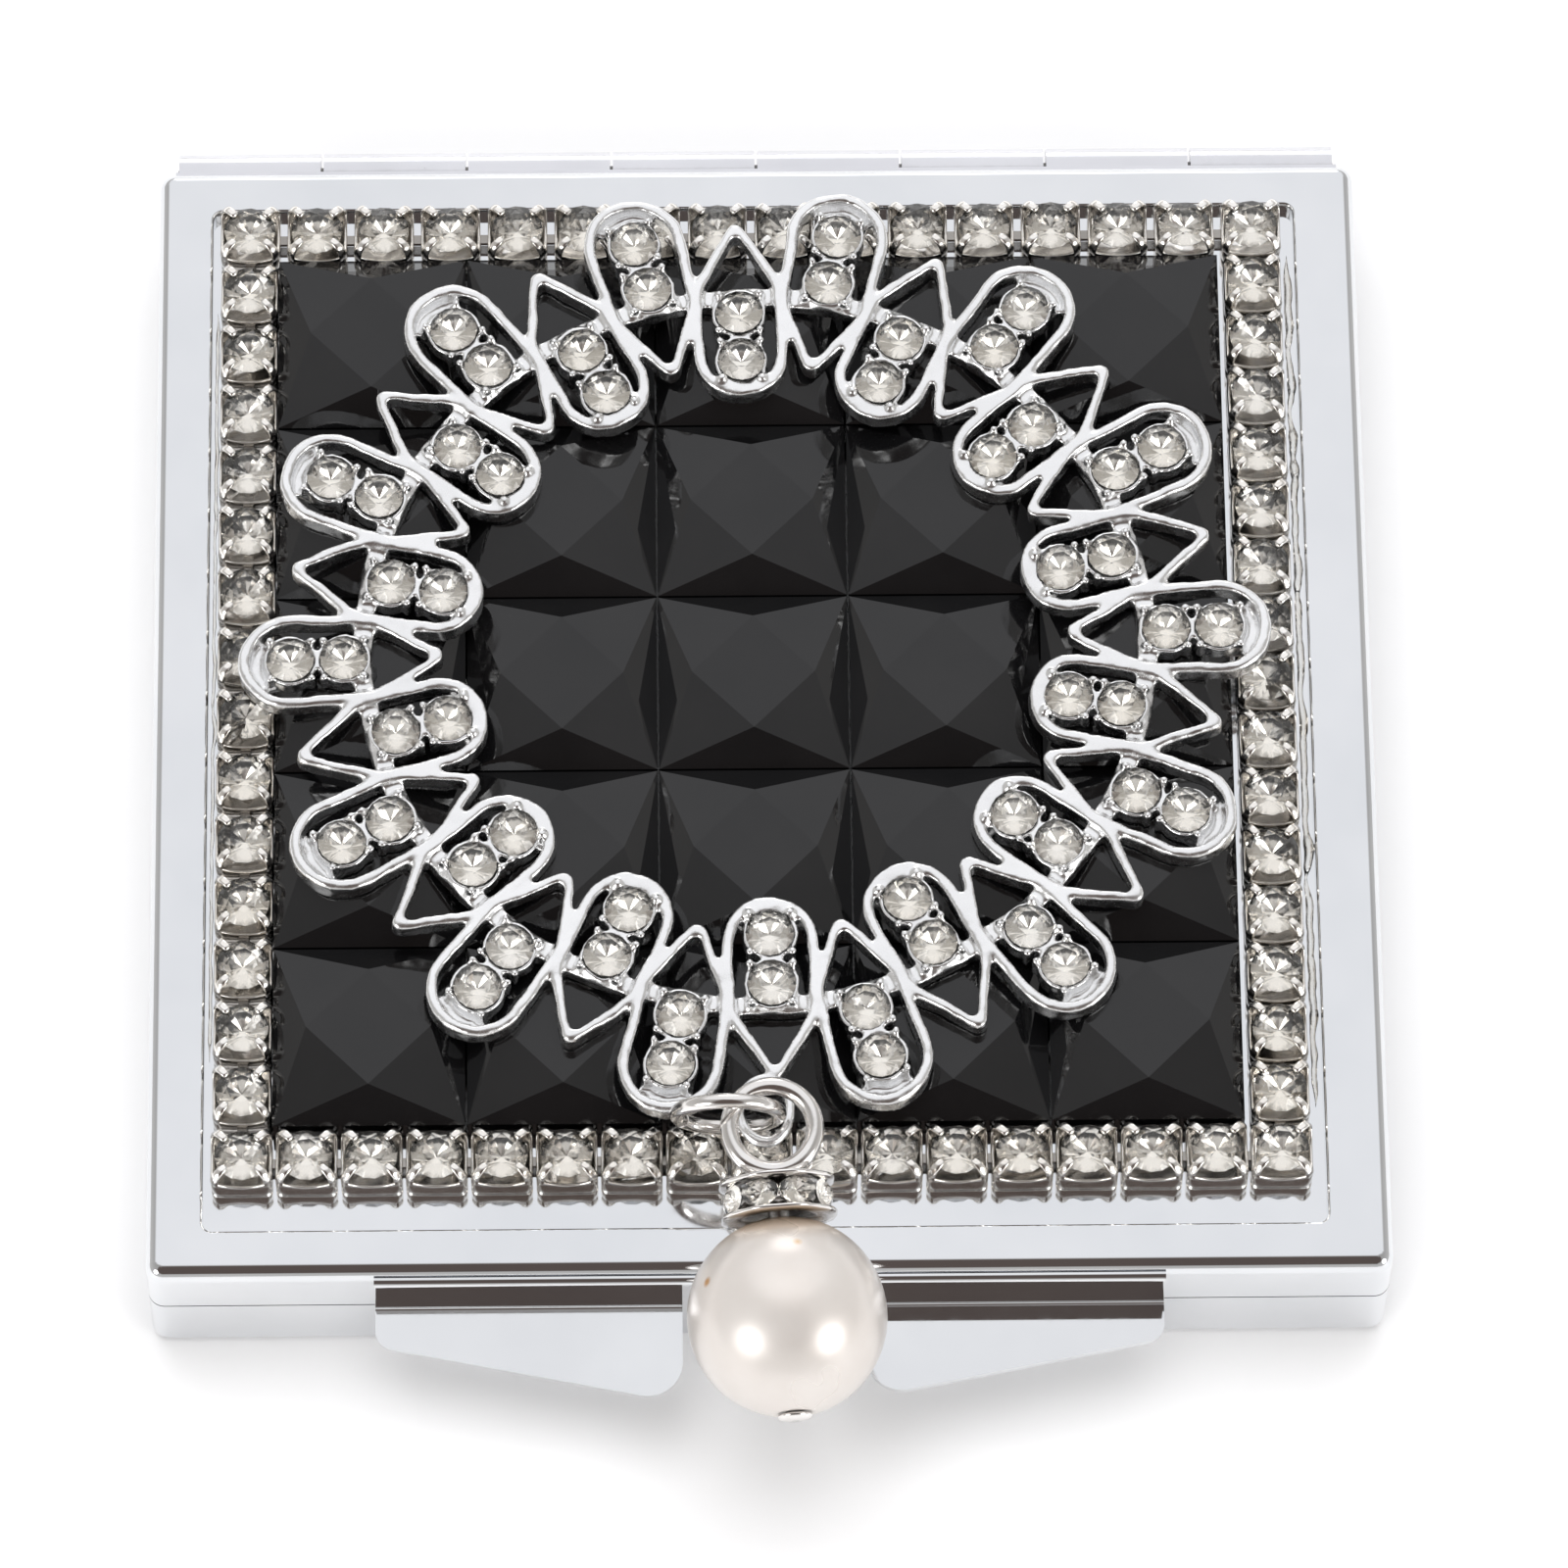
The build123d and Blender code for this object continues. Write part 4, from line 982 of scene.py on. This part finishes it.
def bead(name, x, y0, y1, width, height, seed):
    """A low bead of glue along y, of uneven width and height."""
    verts, faces = [], []
    count, sides = BEAD_STEPS, BEAD_SIDES
    for i in range(count + 1):
        y = y0 + (y1 - y0) * i / count
        n0 = noise.noise(Vector((seed, y * 0.55, 0)))
        n1 = noise.noise(Vector((seed, y * 1.6, 5)))
        end = min(1.0, i / 6, (count - i) / 6)
        w = width * (0.62 + 0.45 * n0 + 0.25 * n1) * max(end, 0.05)
        h = height * (0.7 + 0.5 * n1) * max(end, 0.1)
        for k in range(sides + 1):
            a = math.pi * k / sides
            aside = n0 * BEAD_WANDER + w / 2 * math.cos(a)
            verts.append((x + aside, y, FLOOR_Z + SEAT_GAP + h * math.sin(a)))
    row_len = sides + 1
    for i in range(count):
        for k in range(sides):
            a = i * row_len + k
            faces.append((a, a + 1, a + row_len + 1, a + row_len))
        a = i * row_len
        faces.append((a + sides, a, a + row_len, a + row_len + sides))
    faces.append(tuple(range(row_len)))
    faces.append(tuple(reversed(range(count * row_len, (count + 1) * row_len))))
    obj = new_piece(name, verts, faces, glue, "lid")
    tidy_normals(obj)


bead("glue_bead_right", right_x + CUP_HALF + 0.40, front_y + 3, back_y - 1, 0.62, 0.3, 4)
bead("glue_bead_left", left_x - CUP_HALF - 0.22, front_y + 6, back_y - 4, 0.3, 0.2, 9)

# ------------------------------------------------------------------------------------------------
# Floor, light and camera
# ------------------------------------------------------------------------------------------------
bm = bmesh.new()
bmesh.ops.create_grid(bm, x_segments=8, y_segments=8, size=1.5)
mesh = bpy.data.meshes.new("studio_floor")
bm.to_mesh(mesh)
bm.free()
mesh.materials.append(floor_paint)
floor = bpy.data.objects.new("studio_floor", mesh)
bpy.context.scene.collection.objects.link(floor)


def area_light(name, place, aim, size, power):
    """A rectangular lamp at a place, turned towards what it aims at."""
    data = bpy.data.lights.new(name, "AREA")
    data.shape = "RECTANGLE"
    data.size, data.size_y = size
    data.energy = power
    obj = bpy.data.objects.new(name, data)
    obj.location = place
    obj.rotation_euler = (Vector(aim) - Vector(place)).to_track_quat("-Z", "Y").to_euler()
    bpy.context.scene.collection.objects.link(obj)
    return obj


# Light that falls on matt surfaces only: polished metal and stones show the studio around them.
for name, place, size, power in (
    ("top_soft", (0.0, 0.15, 0.9), (0.8, 0.8), 5.5),
    ("front_soft", (-0.25, -0.7, 0.6), (0.5, 0.5), 1.6),
):
    lamp = area_light(name, place, (0, 0, 0), size, power)
    lamp.visible_glossy = False
    lamp.visible_transmission = False

world = bpy.data.worlds.new("studio")
bpy.context.scene.world = world
world.use_nodes = True
tree = world.node_tree
back = tree.nodes["Background"]
direction = tree.nodes.new("ShaderNodeTexCoord").outputs["Generated"]
split = tree.nodes.new("ShaderNodeSeparateXYZ")
tree.links.new(direction, split.inputs[0])
ramp = tree.nodes.new("ShaderNodeValToRGB")
ramp.color_ramp.elements[0].position = 0.0
ramp.color_ramp.elements[0].color = (0.62, 0.61, 0.60, 1)
ramp.color_ramp.elements[1].position = 0.9
ramp.color_ramp.elements[1].color = (0.40, 0.39, 0.38, 1)
tree.links.new(split.outputs["Z"], ramp.inputs["Fac"])


def patch(below, toward, inner, outer, colour):
    """Puts a soft-edged round patch of another brightness into the studio, around one direction."""
    dot = tree.nodes.new("ShaderNodeVectorMath")
    dot.operation = "DOT_PRODUCT"
    dot.inputs[1].default_value = Vector(toward).normalized()
    tree.links.new(direction, dot.inputs[0])
    ease = tree.nodes.new("ShaderNodeMapRange")
    ease.interpolation_type = "SMOOTHSTEP"
    ease.inputs["From Min"].default_value = math.cos(math.radians(outer))
    ease.inputs["From Max"].default_value = math.cos(math.radians(inner))
    tree.links.new(dot.outputs["Value"], ease.inputs["Value"])
    mix = tree.nodes.new("ShaderNodeMix")
    mix.data_type = "RGBA"
    mix.inputs[7].default_value = (*colour, 1)
    tree.links.new(ease.outputs["Result"], mix.inputs[0])
    tree.links.new(below, mix.inputs[6])
    return mix.outputs[2]


# A broad white screen above and behind, and the dark room in front, where the camera stands.
studio = patch(ramp.outputs["Color"], (0, 0.62, 0.78), 34, 46, (0.97, 0.975, 1.0))
studio = patch(studio, (0, -0.60, 0.80), 26, 33, (0.115, 0.092, 0.084))
# Two softboxes low in front and one low behind: the highlights in the pearl and the stones.
studio = patch(studio, (-0.666, -0.619, 0.397), 11, 17, (4.5, 4.5, 4.5))
studio = patch(studio, (0.75, -0.555, 0.36), 11, 18, (5.0, 5.0, 5.0))
studio = patch(studio, (0.0, 0.95, 0.30), 9, 14, (2.5, 2.5, 2.5))
tree.links.new(studio, back.inputs["Color"])
back.inputs["Strength"].default_value = 1.0

# The camera stands where it stood for the photo, a little left of the middle and looking down.
SENSOR_W = 36.0
LENS = 246.1599
CAMERA = Vector((-5.359, -238.677, 509.114 + RIM_Z))
forward = Vector((0.01142, 0.41784, -0.90845)).normalized()
right = Vector((0.99990, -0.01203, 0.00704))
right = (right - forward * right.dot(forward)).normalized()
up = right.cross(forward)
camera_data = bpy.data.cameras.new("camera")
camera_data.sensor_fit = "HORIZONTAL"
camera_data.sensor_width = SENSOR_W
camera_data.lens = LENS
camera_data.clip_start = 0.01
camera_data.clip_end = 10.0
camera = bpy.data.objects.new("camera", camera_data)
rotation = Matrix((right, up, -forward)).transposed().to_4x4()
camera.matrix_world = Matrix.Translation(CAMERA * MM) @ rotation
bpy.context.scene.collection.objects.link(camera)
bpy.context.scene.camera = camera
bpy.context.scene.view_settings.view_transform = "Standard"
bpy.context.scene.view_settings.look = "None"
